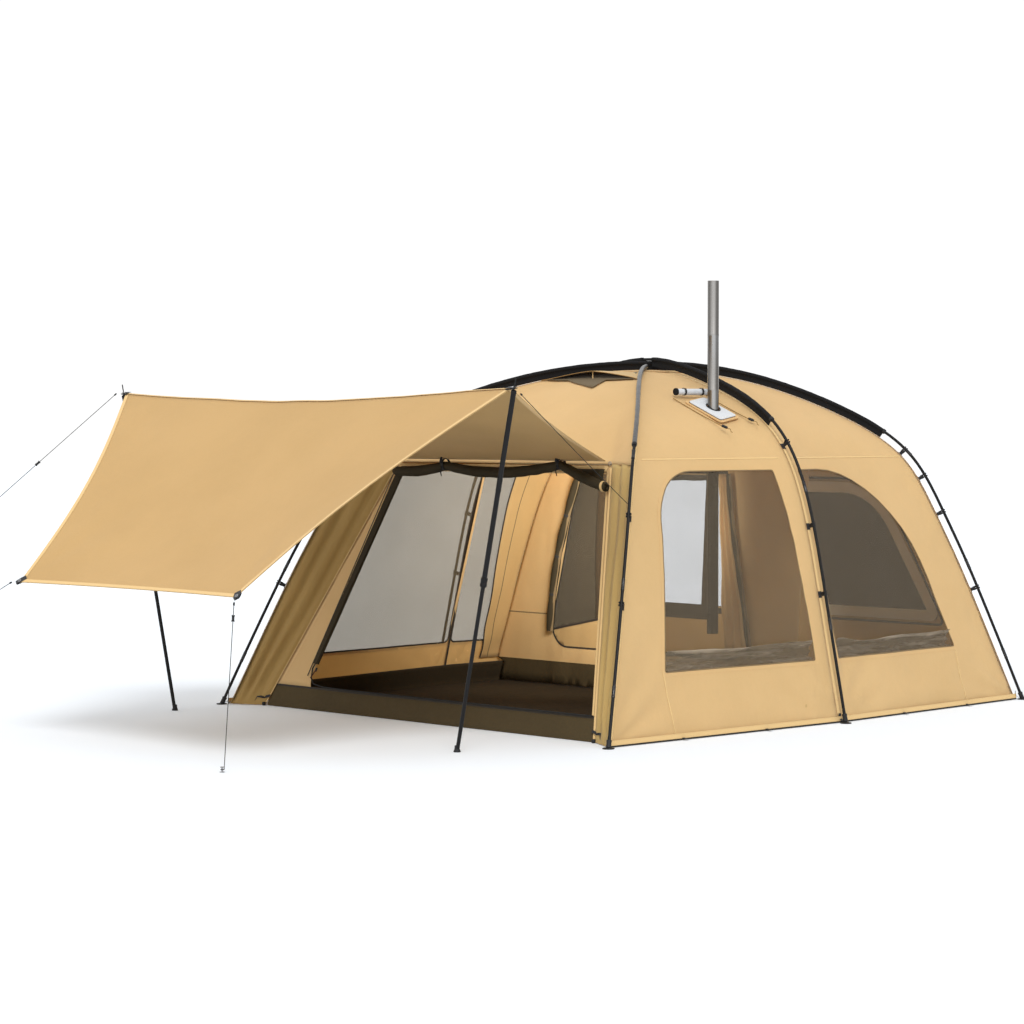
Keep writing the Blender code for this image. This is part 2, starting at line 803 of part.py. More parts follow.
def make_stove_parts():
    middle, along, down, out = jack_frame()
    turn = Matrix((along, down, out)).transposed().to_4x4()
    place = Matrix.Translation(middle + out * (JACK_T / 2 + 0.012)) @ turn
    plate = box("stove_jack", (JACK_WIDTH, JACK_LENGTH, JACK_T), place, jack_cloth())
    low = Vector((*PIPE_XY, PIPE_LOW))
    high = Vector((*PIPE_XY, PIPE_TOP))
    bore = cylinder("bore", PIPE_R + FIT, low, high, jack_cloth(), 32)
    combine(plate, bore, "DIFFERENCE")
    pipe = cylinder("stove_pipe", PIPE_R, low, high, steel(), 32)
    inside = cylinder("inside", PIPE_R - PIPE_WALL, low - UP * 0.01, high + UP * 0.01, steel(), 32)
    combine(pipe, inside, "DIFFERENCE")
    roll_at = middle - down * (JACK_LENGTH / 2 + FLAP_ROLL_R * 1.6) + out * (FLAP_ROLL_R + 0.012)
    half = along * JACK_WIDTH * 0.62
    cylinder("stove_jack_flap", FLAP_ROLL_R, roll_at - half, roll_at + half, jack_cloth(), 14)


def awning_point(u, w):
    """u is across, -1 to 1; w is 0 at the eave, 1 on the ridge between the poles, 2 at the low hem."""
    side = 1 if u >= 0 else -1
    rear, tip, low = (Vector((side * abs(p.x), p.y, p.z)) for p in (AWNING_REAR, TIP, AWNING_LOW))
    share = w if w <= 1 else w - 1
    edge = rear.lerp(tip, w) if w <= 1 else tip.lerp(low, share)
    edge.x -= side * HEM_CURVE * math.sin(math.pi * share) * (0.45 if w <= 1 else 1.0)
    middle = Vector((0, edge.y, edge.z))
    point = middle.lerp(edge, abs(u))
    slack = (1 - u * u) * RIDGE_SAG
    point.z -= slack * math.sin(math.pi * w / 2)
    if w > 1:
        point.z -= 0.05 * math.sin(math.pi * share) * (1 - u * u)
        point.y += HEM_CURVE * (1 - u * u) * share * share * 0.6
    return point


def make_awning():
    def place(u, v):
        across = (2 * u - 1) * 0.985
        return awning_point(across, v * 2)

    piece = sheet("awning", place, 12, 10, AWNING_T, canvas(), UP)
    return piece


def pole_axis(side):
    foot = AWNING_FOOT[side]
    tip = Vector((side * TIP.x, TIP.y, TIP.z))
    return foot, tip, (tip - foot).normalized()


def make_awning_pole(side, word):
    foot, tip, along = pole_axis(side)
    top = tip - along * 0.012
    start = foot + along * (LOWER_TUBE - TUBE_LAP)
    outer = cylinder("awning_pole_upper_" + word, OUTER_TUBE_R, start, top, pole_metal(), 16)
    collar = cylinder("collar", OUTER_TUBE_R + 0.005, start, start + along * 0.05, pole_metal(), 16)
    outer = combine(outer, collar, "UNION")
    spike = cylinder("spike", 0.0035, top - along * 0.01, tip + along * TIP_SPIKE, pole_metal(), 8)
    outer = combine(outer, spike, "UNION")
    depth = TUBE_LAP + TELESCOPE + 0.03
    bore = cylinder("bore", INNER_TUBE_R + TUBE_FIT, start - along * 0.01, start + along * depth, pole_metal(), 16)
    combine(outer, bore, "DIFFERENCE")
    base = foot + UP * 0.004
    lower = cylinder("awning_pole_lower_" + word, INNER_TUBE_R, base, foot + along * LOWER_TUBE, pole_metal(), 16)
    pad = cylinder("pad", 0.020, foot, foot + UP * 0.012, pole_metal(), 16, 0.015)
    lower = combine(lower, pad, "UNION")
    hollow = cylinder("hollow", INNER_TUBE_R - TUBE_WALL, foot + along * 0.03, foot + along * LOWER_TUBE * 1.1, pole_metal())
    combine(lower, hollow, "DIFFERENCE")


def make_peg(name, spot):
    """Head of a ground peg: a short stake with a flat cap."""
    stake = cylinder(name, PEG_R, spot, spot + UP * PEG_HEIGHT, steel(), 8)
    head = cylinder("head", PEG_R * 2.2, spot + UP * (PEG_HEIGHT - 0.005), spot + UP * PEG_HEIGHT, steel(), 8)
    stake = combine(stake, head, "UNION")
    flange = cylinder("flange", PEG_R * 2.6, spot, spot + UP * 0.004, steel(), 8)
    return combine(stake, flange, "UNION")


def cord_line(start, finish, sag):
    """A taut line with the small sag of its own weight."""
    steps = 14 if sag else 4
    points = []
    for i in range(steps + 1):
        s = i / steps
        points.append(start.lerp(finish, s) - UP * sag * 4 * s * (1 - s))
    return points


def guy_lines():
    """Name, upper end, lower end and sag of each cord."""
    far_tip = Vector((-TIP.x, TIP.y, TIP.z))
    near_tip = Vector(TIP)
    far_low = Vector((-AWNING_LOW.x, AWNING_LOW.y, AWNING_LOW.z))
    tie_t = 0.52
    at_peg = []
    for top, peg in ((far_tip, PEG_FAR_RIDGE), (far_low, PEG_FAR_CORNER), (AWNING_LOW, PEG_NEAR_CORNER)):
        level = Vector((top.x - peg.x, top.y - peg.y, 0)).normalized()
        at_peg.append(peg + level * (PEG_R * 2.6 + CORD_R + 0.002) + UP * 0.012)
    return {
        "guy_far_ridge": (far_tip + Vector((-0.03, -0.03, 0.0)), at_peg[0], 0.0),
        "guy_far_corner": (far_low + Vector((-0.03, -0.02, 0.0)), at_peg[1], 0.0),
        "guy_near_corner": (Vector(AWNING_LOW) + Vector((0.004, -0.02, -0.02)), at_peg[2], 0.0),
        "tie_near": (near_tip + Vector((-0.006, 0.05, -0.03)), leg(1, -1, tie_t) + Vector((0.0, -0.016, 0.0)), 0.006),
        "tie_far": (far_tip + Vector((0.006, 0.05, -0.03)), leg(-1, -1, tie_t) + Vector((0.0, -0.016, 0.0)), 0.006),
    }


def make_cords():
    for name, (start, finish, sag) in guy_lines().items():
        tube(name, cord_line(start, finish, sag), CORD_R, black_web(), 1)
    make_peg("peg_far_ridge", PEG_FAR_RIDGE)
    make_peg("peg_far_corner", PEG_FAR_CORNER)
    make_peg("peg_near_corner", PEG_NEAR_CORNER)


def runner_spot(name):
    start, finish, sag = guy_lines()[name]
    share = {"guy_near_corner": 0.10, "guy_far_corner": 0.20, "guy_far_ridge": 0.22}[name]
    spot = start.lerp(finish, share) - UP * sag * 4 * share * (1 - share)
    return spot, (finish - start).normalized()


def make_runners():
    """Sliding tensioners on the guy lines, each with an open hole round its cord."""
    for name in ("guy_near_corner", "guy_far_corner", "guy_far_ridge"):
        spot, way = runner_spot(name)
        half = way * RUNNER_LENGTH / 2
        body = cylinder("runner_" + name[4:], 0.009, spot - half, spot + half, black_plastic(), 8)
        bore = cylinder("bore", 0.0055, spot - half * 2, spot + half * 2, black_plastic(), 8)
        combine(body, bore, "DIFFERENCE")


def hood_point(u, w):
    """Roof vent visor: w is 0 at its hinge and 1 at the propped front edge."""
    across = 0.5 + (u - 0.5) * VENT_SPAN
    v = VENT_SHARES[1] + (VENT_SHARES[0] - VENT_SHARES[1]) * w
    arch = 1 - abs(2 * u - 1) ** 1.3
    return roof_point(across, v) + UP * (VENT_GAP + VENT_LIFT * w * arch)


def make_vent():
    sheet("roof_vent_hood", hood_point, 10, 3, AWNING_T, canvas(), UP)
    top = hood_point(0.5, 0.93) - UP * (AWNING_T + CLEARANCE * 3)
    base = roof_point(0.5, VENT_SHARES[0]) + UP * STRUT_R
    base.y = top.y
    base.z += 0.004
    cylinder("roof_vent_strut", STRUT_R, base, top, canvas(), 8)


def rear_point(x, height):
    """A point on the outside of the rear wall."""
    low, high = 0.0, PANEL_TOP
    for _ in range(30):
        middle = (low + high) / 2
        if ridge(1, 1, middle).z < height:
            low = middle
        else:
            high = middle
    edge = ridge(1, 1, low)
    return Vector((x, edge.y, height))


def make_rear_covers():
    """The black covers over the rear windows."""
    hinge = rear_point(0, COVER_TOP_Z)
    low = rear_point(0, COVER_TOP_Z - COVER_DROP)
    slope = math.atan2(low.y - hinge.y, hinge.z - low.z)
    fall = slope + COVER_TILT

    def place(u, v):
        inner = REAR_WINDOW_IN - COVER_MARGIN
        outer = REAR_WINDOW_TOP_X + (REAR_WINDOW_LOW_X - REAR_WINDOW_TOP_X) * v + COVER_MARGIN
        drop = COVER_DROP * v
        point = Vector((inner + (outer - inner) * u, hinge.y + 0.012, hinge.z))
        return point + Vector((0, math.sin(fall), -math.cos(fall))) * drop

    sheet("rear_window_hood", place, 6, 4, CLOTH, black_web(), Vector((0, 1, 0)))
    spot = rear_point(0, COVER_TOP_Z - COVER_ROLL_R)
    spot.y += COVER_ROLL_R + 0.012
    inner = Vector((-REAR_WINDOW_IN + COVER_MARGIN, spot.y, spot.z))
    outer = Vector((-REAR_WINDOW_TOP_X - COVER_MARGIN, spot.y, spot.z))
    cylinder("rear_cover_roll", COVER_ROLL_R, inner, outer, black_web(), 12)


def partition_height(v, rows):
    """Heights of the partition's rows: two close ones at the top of the tub, then even steps."""
    i = round(v * rows)
    last = len(PARTITION_LOW) - 1
    if i <= last:
        return PARTITION_LOW[i]
    return PARTITION_LOW[last] + (PARTITION_TOP - PARTITION_LOW[last]) * (i - last) / (rows - last)


def cross_width(height):
    """Half the inside width of the tent at the partition, at this height."""
    place = partition_y(height)
    low, high = 0.0, PANEL_TOP
    for _ in range(24):
        v = (low + high) / 2
        u = partition_share(v, place)
        low, high = (v, high) if sector(Vector((1, 0, 0)), ((1, 0), (1, 1)), u, v).z < height else (low, v)
    return sector(Vector((1, 0, 0)), ((1, 0), (1, 1)), partition_share(low, place), low).x


def partition_y(height):
    return PARTITION_Y + PARTITION_LEAN * height


def partition_share(v, place):
    """Where along a rear side panel it meets the partition, at this share of its height."""
    first, last = ridge(1, 0, v).y, ridge(1, 1, v).y
    return min(1.0, max(0.0, (place - first) / (last - first)))


def make_partition():
    """The hanging inner wall between the two rooms, with its door rolled open."""
    rows = 14
    floor_half = cross_width(PARTITION_LOW[0]) - TUB_INSET - TUB_WALL

    def place(u, v):
        height = partition_height(v, rows)
        half = cross_width(height) - PARTITION_GAP
        if height <= PARTITION_LOW[1]:
            half = floor_half - TUB_LEAN * height / TUB_HEIGHT - PARTITION_GAP
        return Vector(((2 * u - 1) * half, partition_y(height), height))

    wall = sheet("partition", place, 8, rows, CLOTH, canvas(), Vector((0, -1, 0)), offset=0.0)
    corners = [
        (INNER_DOOR[0], INNER_SILL), (INNER_DOOR[1], INNER_SILL),
        (INNER_DOOR[3], INNER_DOOR_TOP), (INNER_DOOR[2], INNER_DOOR_TOP),
    ]
    outline = rounded(corners, (0.16, 0.16, 0.10, 0.10), 4)
    hole = prism("hole", outline, 1, PARTITION_Y - 0.3, PARTITION_Y + 0.5, canvas())
    combine(wall, hole, "DIFFERENCE")


def make_door_roll():
    """The door rolled up and tied under the eave: a sagging roll, thicker between its ties."""
    points = []
    steps = 18
    roll_r = 0.040
    for i in range(steps + 1):
        s = i / steps
        x = (2 * s - 1) * (DOOR_TOP_X - 0.02)
        belly = abs(math.sin(math.pi * (s * 3)))
        y = EAVE_Y - 0.085 - 0.01 * belly
        points.append(Vector((x, y, DOOR_TOP_Z - 0.005 - 0.015 * belly)))
    roll = tube("door_roll", points, roll_r, dark_cloth(), 2)
    for spot, i in zip(roll.data.splines[0].points, range(steps + 1)):
        s = i / steps
        spot.radius = 0.72 + 0.28 * abs(math.sin(math.pi * s * 3))
    for side, word in ((-1, "left"), (1, "right")):
        x = side * (DOOR_TOP_X - 0.02) / 3
        place = Matrix.Translation(Vector((x, EAVE_Y - 0.085 - 0.004, DOOR_TOP_Z)))
        strap = box("door_tie_" + word, (0.022, 0.084, 0.104), place, black_web())
        gap = box("gap", (0.06, 0.078, 0.098), place, black_web())
        combine(strap, gap, "DIFFERENCE")


def make_zip():
    """Slider of the door's zip, at the foot of the left-hand zip."""
    spot = wall_edge(1, ZIP_HEIGHT)
    spot.x = -(DOOR_LOW_X + ZIP_OUT)
    rise = Vector((0, EAVE_Y - WALL_FOOT_Y, EAVE_Z)).normalized()
    out = Vector((0, -rise.z, rise.y))
    turn = Matrix((rise.cross(out), rise, out)).transposed().to_4x4()
    place = Matrix.Translation(spot + out * (SLIDER[2] / 2 + 0.001)) @ turn
    box("door_zip_slider", SLIDER, place, black_plastic())


def main():
    clear_scene()
    make_poles()
    for side, side_word in ((-1, "left"), (1, "right")):
        for end, end_word in ((-1, "front"), (0, "middle"), (1, "rear")):
            make_foot(side, end, "foot_" + end_word + "_" + side_word)
            make_sleeve(side, end, "sleeve_" + end_word + "_" + side_word)
        for end in (-1, 1):
            make_side(side, end)
    make_rear()
    make_front()
    make_crown()
    make_tub()
    make_stove_parts()
    make_awning()
    for side, word in ((-1, "left"), (1, "right")):
        make_awning_pole(side, word)
    make_cords()
    make_runners()
    make_vent()
    make_rear_covers()
    make_partition()
    make_door_roll()
    make_zip()


main()
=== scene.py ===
"""Looks of the dome tent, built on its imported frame. Metres, +Z up, -Y is the door side."""

import json
import math

import bmesh
import bpy
import numpy as np
from mathutils import Matrix, Vector
from mathutils.bvhtree import BVHTree

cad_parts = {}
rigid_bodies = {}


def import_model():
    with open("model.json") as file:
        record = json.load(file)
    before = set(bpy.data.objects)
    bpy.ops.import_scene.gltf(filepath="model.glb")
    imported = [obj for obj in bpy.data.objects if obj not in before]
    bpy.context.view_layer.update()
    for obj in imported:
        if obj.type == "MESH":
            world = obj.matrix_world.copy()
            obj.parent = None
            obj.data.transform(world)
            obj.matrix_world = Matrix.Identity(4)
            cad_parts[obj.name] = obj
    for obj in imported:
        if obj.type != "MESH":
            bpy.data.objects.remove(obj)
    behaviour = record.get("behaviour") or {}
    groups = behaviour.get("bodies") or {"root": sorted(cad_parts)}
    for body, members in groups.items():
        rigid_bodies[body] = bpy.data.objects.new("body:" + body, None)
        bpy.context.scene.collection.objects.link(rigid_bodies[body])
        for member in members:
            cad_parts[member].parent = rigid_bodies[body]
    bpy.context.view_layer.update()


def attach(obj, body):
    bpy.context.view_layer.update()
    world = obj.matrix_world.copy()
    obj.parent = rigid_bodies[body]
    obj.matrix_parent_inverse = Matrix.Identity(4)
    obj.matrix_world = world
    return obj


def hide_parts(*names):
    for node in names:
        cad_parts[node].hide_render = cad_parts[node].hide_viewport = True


# Measures repeated from the frame
FRONT_SPAN = 3.40
LENGTH = 3.90
HEIGHT = 2.18
CROSSING_Y = 0.21
MID_FOOT_OUT = 0.10
POLE_R = 0.0095
CROSS_STEP = 0.023
MIDDLE_PROFILE = ((0, 0), (0.092, 0.328), (0.209, 0.666), (0.409, 0.860), (0.706, 0.958), (1, 1))
PLATE_R = 0.034
PLATE_H = 0.006
STAND_OFF = 0.050
WALL_SAG = 0.030
PANEL_TOP = 0.945
TUB_HEIGHT = 0.134
TUB_INSET = 0.075
TUB_LEAN = 0.035
WALL_FOOT_X = 1.45
WALL_FOOT_Y = -1.80
EAVE_X = 0.933
EAVE_Y = -1.114
EAVE_Z = 1.546
DOOR_LOW_X = 1.03
DOOR_TOP_X = 0.875
DOOR_TOP_Z = 1.49
DOOR_CORNER = 0.12
ZIP_HEIGHT = 0.24
ZIP_OUT = 0.03
WINDOW_BACK = 0.105
WINDOW_LOW_END = 1.36
WINDOW_HIGH_END = 1.06
WINDOW_LOW_Z = {-1: 0.29, 1: 0.375}
WINDOW_TOP_Z = 1.505
WINDOW_CORNER = {-1: 0.36, 1: 0.95}
REAR_WINDOW_IN = 0.16
REAR_WINDOW_LOW_X = 1.20
REAR_WINDOW_TOP_X = 0.92
REAR_WINDOW_LOW_Z = 0.50
REAR_WINDOW_TOP_Z = 1.40
REAR_WINDOW_CORNER = 0.40
PARTITION_Y = 0.45
PARTITION_LEAN = 0.10
PARTITION_TOP = 1.92
INNER_SILL = 0.27
INNER_DOOR = (-1.16, 0.66, -0.98, 0.32)
INNER_DOOR_TOP = 1.56
PIPE_R = 0.035
PIPE_XY = (0.92, -0.203)
PIPE_LOW = 0.50
PIPE_TOP = 2.66
JACK_WIDTH = 0.21
JACK_LENGTH = 0.30
JACK_UV = (0.71, 0.667)
FLAP_ROLL_R = 0.022
VENT_SPAN = 0.93
VENT_SHARES = (0.838, 0.905)
VENT_GAP = 0.009
VENT_LIFT = 0.055
COVER_MARGIN = 0.06
COVER_TOP_Z = 1.45
COVER_DROP = 0.86
COVER_TILT = math.radians(13)
COVER_ROLL_R = 0.030
TIP = np.array((1.72, -2.694, 1.975))
AWNING_FOOT = {1: np.array((1.221, -2.641, 0.0)), -1: np.array((-1.60, -2.40, 0.0))}
AWNING_REAR = np.array((0.925, -1.150, 1.568))
AWNING_LOW = np.array((0.985, -3.978, 0.890))
RIDGE_SAG = 0.055
HEM_CURVE = 0.11
OUTER_TUBE_R = 0.014
INNER_TUBE_R = 0.011
LOWER_TUBE = 1.10
TUBE_LAP = 0.16
TIP_SPIKE = 0.055
CORD_R = 0.002
PEG_R = 0.005
PEG_HEIGHT = 0.030
PEG_FAR_RIDGE = np.array((-2.96, -4.58, 0.0))
PEG_FAR_CORNER = np.array((-2.77, -4.39, 0.0))
PEG_NEAR_CORNER = np.array((1.014, -4.10, 0.0))
RUNNER_LENGTH = 0.034

# Looks only. The corner poles follow a smoother curve than the solids.
CORNER_PROFILE = (
    (0, 0), (0.0281, 0.0771), (0.0637, 0.1738), (0.1073, 0.2898), (0.1599, 0.4248), (0.2247, 0.5769),
    (0.314, 0.738), (0.4705, 0.8574), (0.662, 0.944), (0.8381, 0.9884), (1, 1),
)
POLE_BOW = 0.045
POLE_BOW_LOW = 0.027
BOW_SHARE = {(-1, -1): 0.25}
CLOTH_T = 0.0016
VENT_DROOP = 0.038
COVER_CLOTH_DROP = 1.15
LEFT_WINDOW_CORNER = 0.26
REAR_LEFT_LOW_X = 1.36
REAR_LEFT_TOP_X = 1.04
REAR_LEFT_CORNER = 0.10
REAR_LEFT_RISE = 0.035
SHOULDER_SEAM_Z = 1.578
PIPE_HOLE_R = 0.068
ROLL_TURNS = 3.0
DOOR_ROLL_R = 0.0385
DOOR_ROLL_OUT = 0.052
# Where lines that look for a wall's surface start: outside the tent, in the rear and in the front room
OUTSIDE = 3.0
REAR_ROOM_Y = 0.6
FRONT_ROOM_Y = -0.5
LEGS = ((1, -1), (1, 0), (1, 1), (-1, 1), (-1, 0), (-1, -1))
SIDE_WORD = {-1: "left", 1: "right"}
END_WORD = {-1: "front", 0: "middle", 1: "rear"}
CLIPS = {-1: (0.350, 0.502), 0: (0.214, 0.32, 0.488), 1: (0.336, 0.49, 0.555, 0.605)}
SLEEVE_FROM = {-1: 0.62, 0: 0.56, 1: 0.645}
SLEEVE_TO = {(-1, -1): 1.0, (1, 1): 1.0, (1, 0): 0.985, (-1, 0): 0.985, (1, -1): 0.965, (-1, 1): 0.955}
LEFT_HOOP_GAP = 0.012
PARTITION_EDGE_X = 1.02
UP = np.array((0.0, 0.0, 1.0))
# How far the stove pipe's painted reflection bands are turned round it.
PIPE_REFLECTION_TURN = 0.80

for startup in list(bpy.data.objects):
    bpy.data.objects.remove(startup)
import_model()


# Curves and surfaces of the tent


def word_of(side, end):
    return SIDE_WORD[side] + "_" + END_WORD[end]


def natural(values, flat_end=False):
    """Values and bends of a natural cubic through evenly spaced values."""
    count = len(values)
    rows = np.zeros((count, count))
    right = np.zeros(count)
    rows[0, 0] = rows[-1, -1] = 1
    for i in range(1, count - 1):
        rows[i, i - 1 : i + 2] = 1, 4, 1
        right[i] = 6 * (values[i - 1] - 2 * values[i] + values[i + 1])
    if flat_end:
        rows[-1, -2:] = 1, 2
        right[-1] = -6 * (values[-1] - values[-2])
    return np.array(values, float), np.linalg.solve(rows, right)


PROFILES = {}
for end, profile in ((-1, CORNER_PROFILE), (0, MIDDLE_PROFILE), (1, CORNER_PROFILE)):
    PROFILES[end] = (natural([p[0] for p in profile]), natural([p[1] for p in profile], True))


def curve_at(curve, t):
    values, bend = curve
    place = np.asarray(t, float) * (len(values) - 1)
    i = np.clip(place.astype(int), 0, len(values) - 2)
    f = place - i
    g = 1 - f
    straight = g * values[i] + f * values[i + 1]
    return straight + ((g**3 - g) * bend[i] + (f**3 - f) * bend[i + 1]) / 6


def unit(vectors):
    vectors = np.asarray(vectors, float)
    length = np.linalg.norm(vectors, axis=-1, keepdims=True)
    return vectors / np.maximum(length, 1e-12)


def foot_point(side, end):
    out = MID_FOOT_OUT if end == 0 else 0.0
    return np.array((side * (FRONT_SPAN / 2 + out), end * LENGTH / 2, 0.0))


def leg(side, end, t):
    """Points on the centreline of a pole, from its foot at 0 to the crossing at 1."""
    t = np.atleast_1d(np.asarray(t, float))
    share = curve_at(PROFILES[end][0], t)
    height = curve_at(PROFILES[end][1], t)
    foot = foot_point(side, end)
    way = np.array((0, CROSSING_Y, 0.0)) - foot
    points = foot + share[:, None] * way
    if end:
        inward = unit(way)
        across = np.array((side * abs(inward[1]), -end * abs(inward[0]), 0))
        bow = POLE_BOW * np.sin(np.pi * share) + POLE_BOW_LOW * np.sin(2 * np.pi * share)
        points = points + bow[:, None] * across * BOW_SHARE.get((side, end), 1.0)
    points[:, 2] = height * HEIGHT
    return points


def leg_frame(side, end, t):
    t = np.atleast_1d(np.asarray(t, float))
    along = unit(leg(side, end, np.minimum(t + 0.01, 1)) - leg(side, end, np.maximum(t - 0.01, 0)))
    inward = unit(np.array((0, CROSSING_Y, 0.0)) - foot_point(side, end))
    towards = inward * along[:, 2:3] - UP * (along @ inward)[:, None]
    return along, unit(towards)


def ridge(side, end, t, off=STAND_OFF):
    """The line of the cloth under a pole."""
    points = leg(side, end, t) + leg_frame(side, end, t)[1] * off
    points[:, 2] = np.maximum(points[:, 2], 0.004)
    return points


def crossing_ease(t):
    share = np.maximum(0.0, (np.asarray(t, float) - 0.5) / 0.5)
    return share * share * (3 - 2 * share)


def leg_lift(side, end):
    if end == 0:
        return CROSS_STEP
    return -CROSS_STEP if side * end < 0 else 0.0


def sector(side, ends, u, v):
    """Cloth between two legs, drawn in a little between them."""
    a = ridge(*ends[0], v)
    b = ridge(*ends[1], v)
    points = a + (b - a) * u[:, None]
    sag = WALL_SAG * np.sin(np.pi * np.minimum(v / 0.6, 1)) * 4 * u * (1 - u)
    return points - np.asarray(side, float) * sag[:, None]


def height_share(height, which=(1, -1)):
    low, high = 0.0, 1.0
    for _ in range(40):
        middle = (low + high) / 2
        low, high = (middle, high) if ridge(*which, middle)[0, 2] < height else (low, middle)
    return low


EAVE_SHARE = height_share(EAVE_Z)
EAVE_RIDGE = ridge(1, -1, EAVE_SHARE)[0]


def wall_edge(side, height):
    """The edge between the set-back front wall and its wing."""
    share = np.atleast_1d(np.asarray(height, float)) / EAVE_Z
    x = side * (WALL_FOOT_X + (EAVE_X - WALL_FOOT_X) * share)
    y = WALL_FOOT_Y + (EAVE_Y - WALL_FOOT_Y) * share
    return np.stack((x, y, share * EAVE_Z), 1)


def roof_point(u, v):
    """Front roof between the two front poles, set back over the door's eave."""
    u, v = np.atleast_1d(u), np.atleast_1d(v)
    a, b = ridge(-1, -1, v), ridge(1, -1, v)
    points = a + (b - a) * u[:, None]
    fade = 1 - np.clip((v - EAVE_SHARE) / (PANEL_TOP - EAVE_SHARE), 0, 1)
    edge = np.minimum(u, 1 - u)
    rise = np.minimum(1.0, edge / ((1 - EAVE_X / EAVE_RIDGE[0]) / 2))
    points[:, 1] += (EAVE_Y - EAVE_RIDGE[1]) * rise * fade
    return points


def awning_point(u, w):
    """u is across, -1 to 1; w is 0 at the eave, 1 on the ridge, 2 at the low hem."""
    u, w = np.atleast_1d(np.asarray(u, float)), np.atleast_1d(np.asarray(w, float))
    side = np.where(u >= 0, 1.0, -1.0)
    share = np.where(w <= 1, w, w - 1)[:, None]
    first = np.where((w <= 1)[:, None], AWNING_REAR, TIP)
    last = np.where((w <= 1)[:, None], TIP, AWNING_LOW)
    edge = first + (last - first) * share
    share = share[:, 0]
    edge[:, 0] -= HEM_CURVE * np.sin(np.pi * share) * np.where(w <= 1, 0.45, 1.0)
    edge[:, 0] *= side
    points = edge.copy()
    points[:, 0] *= np.abs(u)
    flat = 1 - u * u
    points[:, 2] -= flat * RIDGE_SAG * np.sin(np.pi * w / 2)
    low = w > 1
    points[:, 2] -= np.where(low, 0.05 * np.sin(np.pi * share) * flat, 0)
    points[:, 1] += np.where(low, HEM_CURVE * flat * share * share * 0.6, 0)
    return points


def rounded(points, radii, steps=10):
    """The outline with its corners rounded by arcs."""
    outline = []
    count = len(points)
    for i, radius in enumerate(radii):
        corner = Vector(points[i])
        before = (Vector(points[i - 1]) - corner).normalized()
        after = (Vector(points[(i + 1) % count]) - corner).normalized()
        if radius <= 0:
            outline.append(tuple(corner))
            continue
        half = before.angle(after) / 2
        reach = radius / math.tan(half)
        centre = corner + (before + after).normalized() * radius / math.sin(half)
        start = corner + before * reach - centre
        finish = corner + after * reach - centre
        turn = math.atan2(start.x * finish.y - start.y * finish.x, start.dot(finish))
        first = math.atan2(start.y, start.x)
        for k in range(steps + 1):
            angle = first + turn * k / steps
            outline.append((centre.x + radius * math.cos(angle), centre.y + radius * math.sin(angle)))
    return outline


def hoop_y(height):
    """Where the middle hoop's seam on the left side is at a height."""
    return float(ridge(-1, 0, height_share(height, (-1, 0)))[0][1])


def side_window(side, end, inset):
    """Side-view outline (y, z) of a window, drawn in by inset."""
    low = WINDOW_LOW_Z[side] + inset
    top = WINDOW_TOP_Z - inset
    lean = (WINDOW_HIGH_END - WINDOW_LOW_END) / (WINDOW_TOP_Z - WINDOW_LOW_Z[1])
    low_end = WINDOW_LOW_END + lean * (WINDOW_LOW_Z[side] - WINDOW_LOW_Z[1]) - inset * 1.2
    high_end = low_end + lean * (top - low)
    if side > 0:
        back_low = back_top = end * (WINDOW_BACK + inset)
        tight = 0.012
        corner = WINDOW_CORNER[end] - inset
    else:
        back_low, back_top = (hoop_y(height) + end * (LEFT_HOOP_GAP + inset) for height in (low, top))
        tight = 0.035 - inset * 0.5
        corner = LEFT_WINDOW_CORNER - inset
    corners = [(back_low, low), (end * low_end, low), (end * high_end, top), (back_top, top)]
    return rounded(corners, (tight, tight, corner, tight))


def rear_window(side, inset):
    low, top = REAR_WINDOW_LOW_Z + inset, REAR_WINDOW_TOP_Z - inset
    inner, wide, narrow = REAR_WINDOW_IN + inset, REAR_WINDOW_LOW_X - inset, REAR_WINDOW_TOP_X - inset
    corner = REAR_WINDOW_CORNER - inset
    if side < 0:
        wide, narrow, corner = REAR_LEFT_LOW_X - inset, REAR_LEFT_TOP_X - inset, REAR_LEFT_CORNER
        top += REAR_LEFT_RISE
    corners = [(side * inner, low), (side * wide, low), (side * narrow, top), (side * inner, top)]
    tight = 0.03
    return rounded(corners, (tight, tight, corner, tight), 8)


def partition_y(height):
    return PARTITION_Y + PARTITION_LEAN * np.asarray(height, float)


# Smooth noise for folds


def lattice(i, j, seed):
    mixed = (i.astype(np.int64) * 374761393 + j.astype(np.int64) * 668265263 + seed * 974711) & 0xFFFFFFFF
    mixed = ((mixed ^ (mixed >> 13)) * 1274126177) & 0xFFFFFFFF
    return ((mixed ^ (mixed >> 16)) & 0xFFFF) / 32767.5 - 1


def rough(x, y, seed):
    """Smooth noise from -1 to 1."""
    x, y = np.asarray(x, float), np.asarray(y, float)
    i, j = np.floor(x), np.floor(y)
    f, g = x - i, y - j
    f, g = f * f * f * (f * (f * 6 - 15) + 10), g * g * g * (g * (g * 6 - 15) + 10)
    low = lattice(i, j, seed) * (1 - f) + lattice(i + 1, j, seed) * f
    high = lattice(i, j + 1, seed) * (1 - f) + lattice(i + 1, j + 1, seed) * f
    return low * (1 - g) + high * g


def layered(x, y, seed, layers=3):
    total = 0
    for k in range(layers):
        total = total + rough(x * 2.1**k, y * 2.1**k, seed + 17 * k) / 2**k
    return total


# Materials

CANVAS_PITCH = 0.0024
NET_PITCH = 0.003
WEBBING_PITCH = 0.003
STITCH_LINE = 0.36
STITCHES_PER_M = 180.0


def node(tree, kind, **settings):
    made = tree.nodes.new(kind)
    for name, value in settings.items():
        setattr(made, name, value)
    return made


def fill(made, **values):
    for name, value in values.items():
        made.inputs[name.replace("_", " ")].default_value = value
    return made


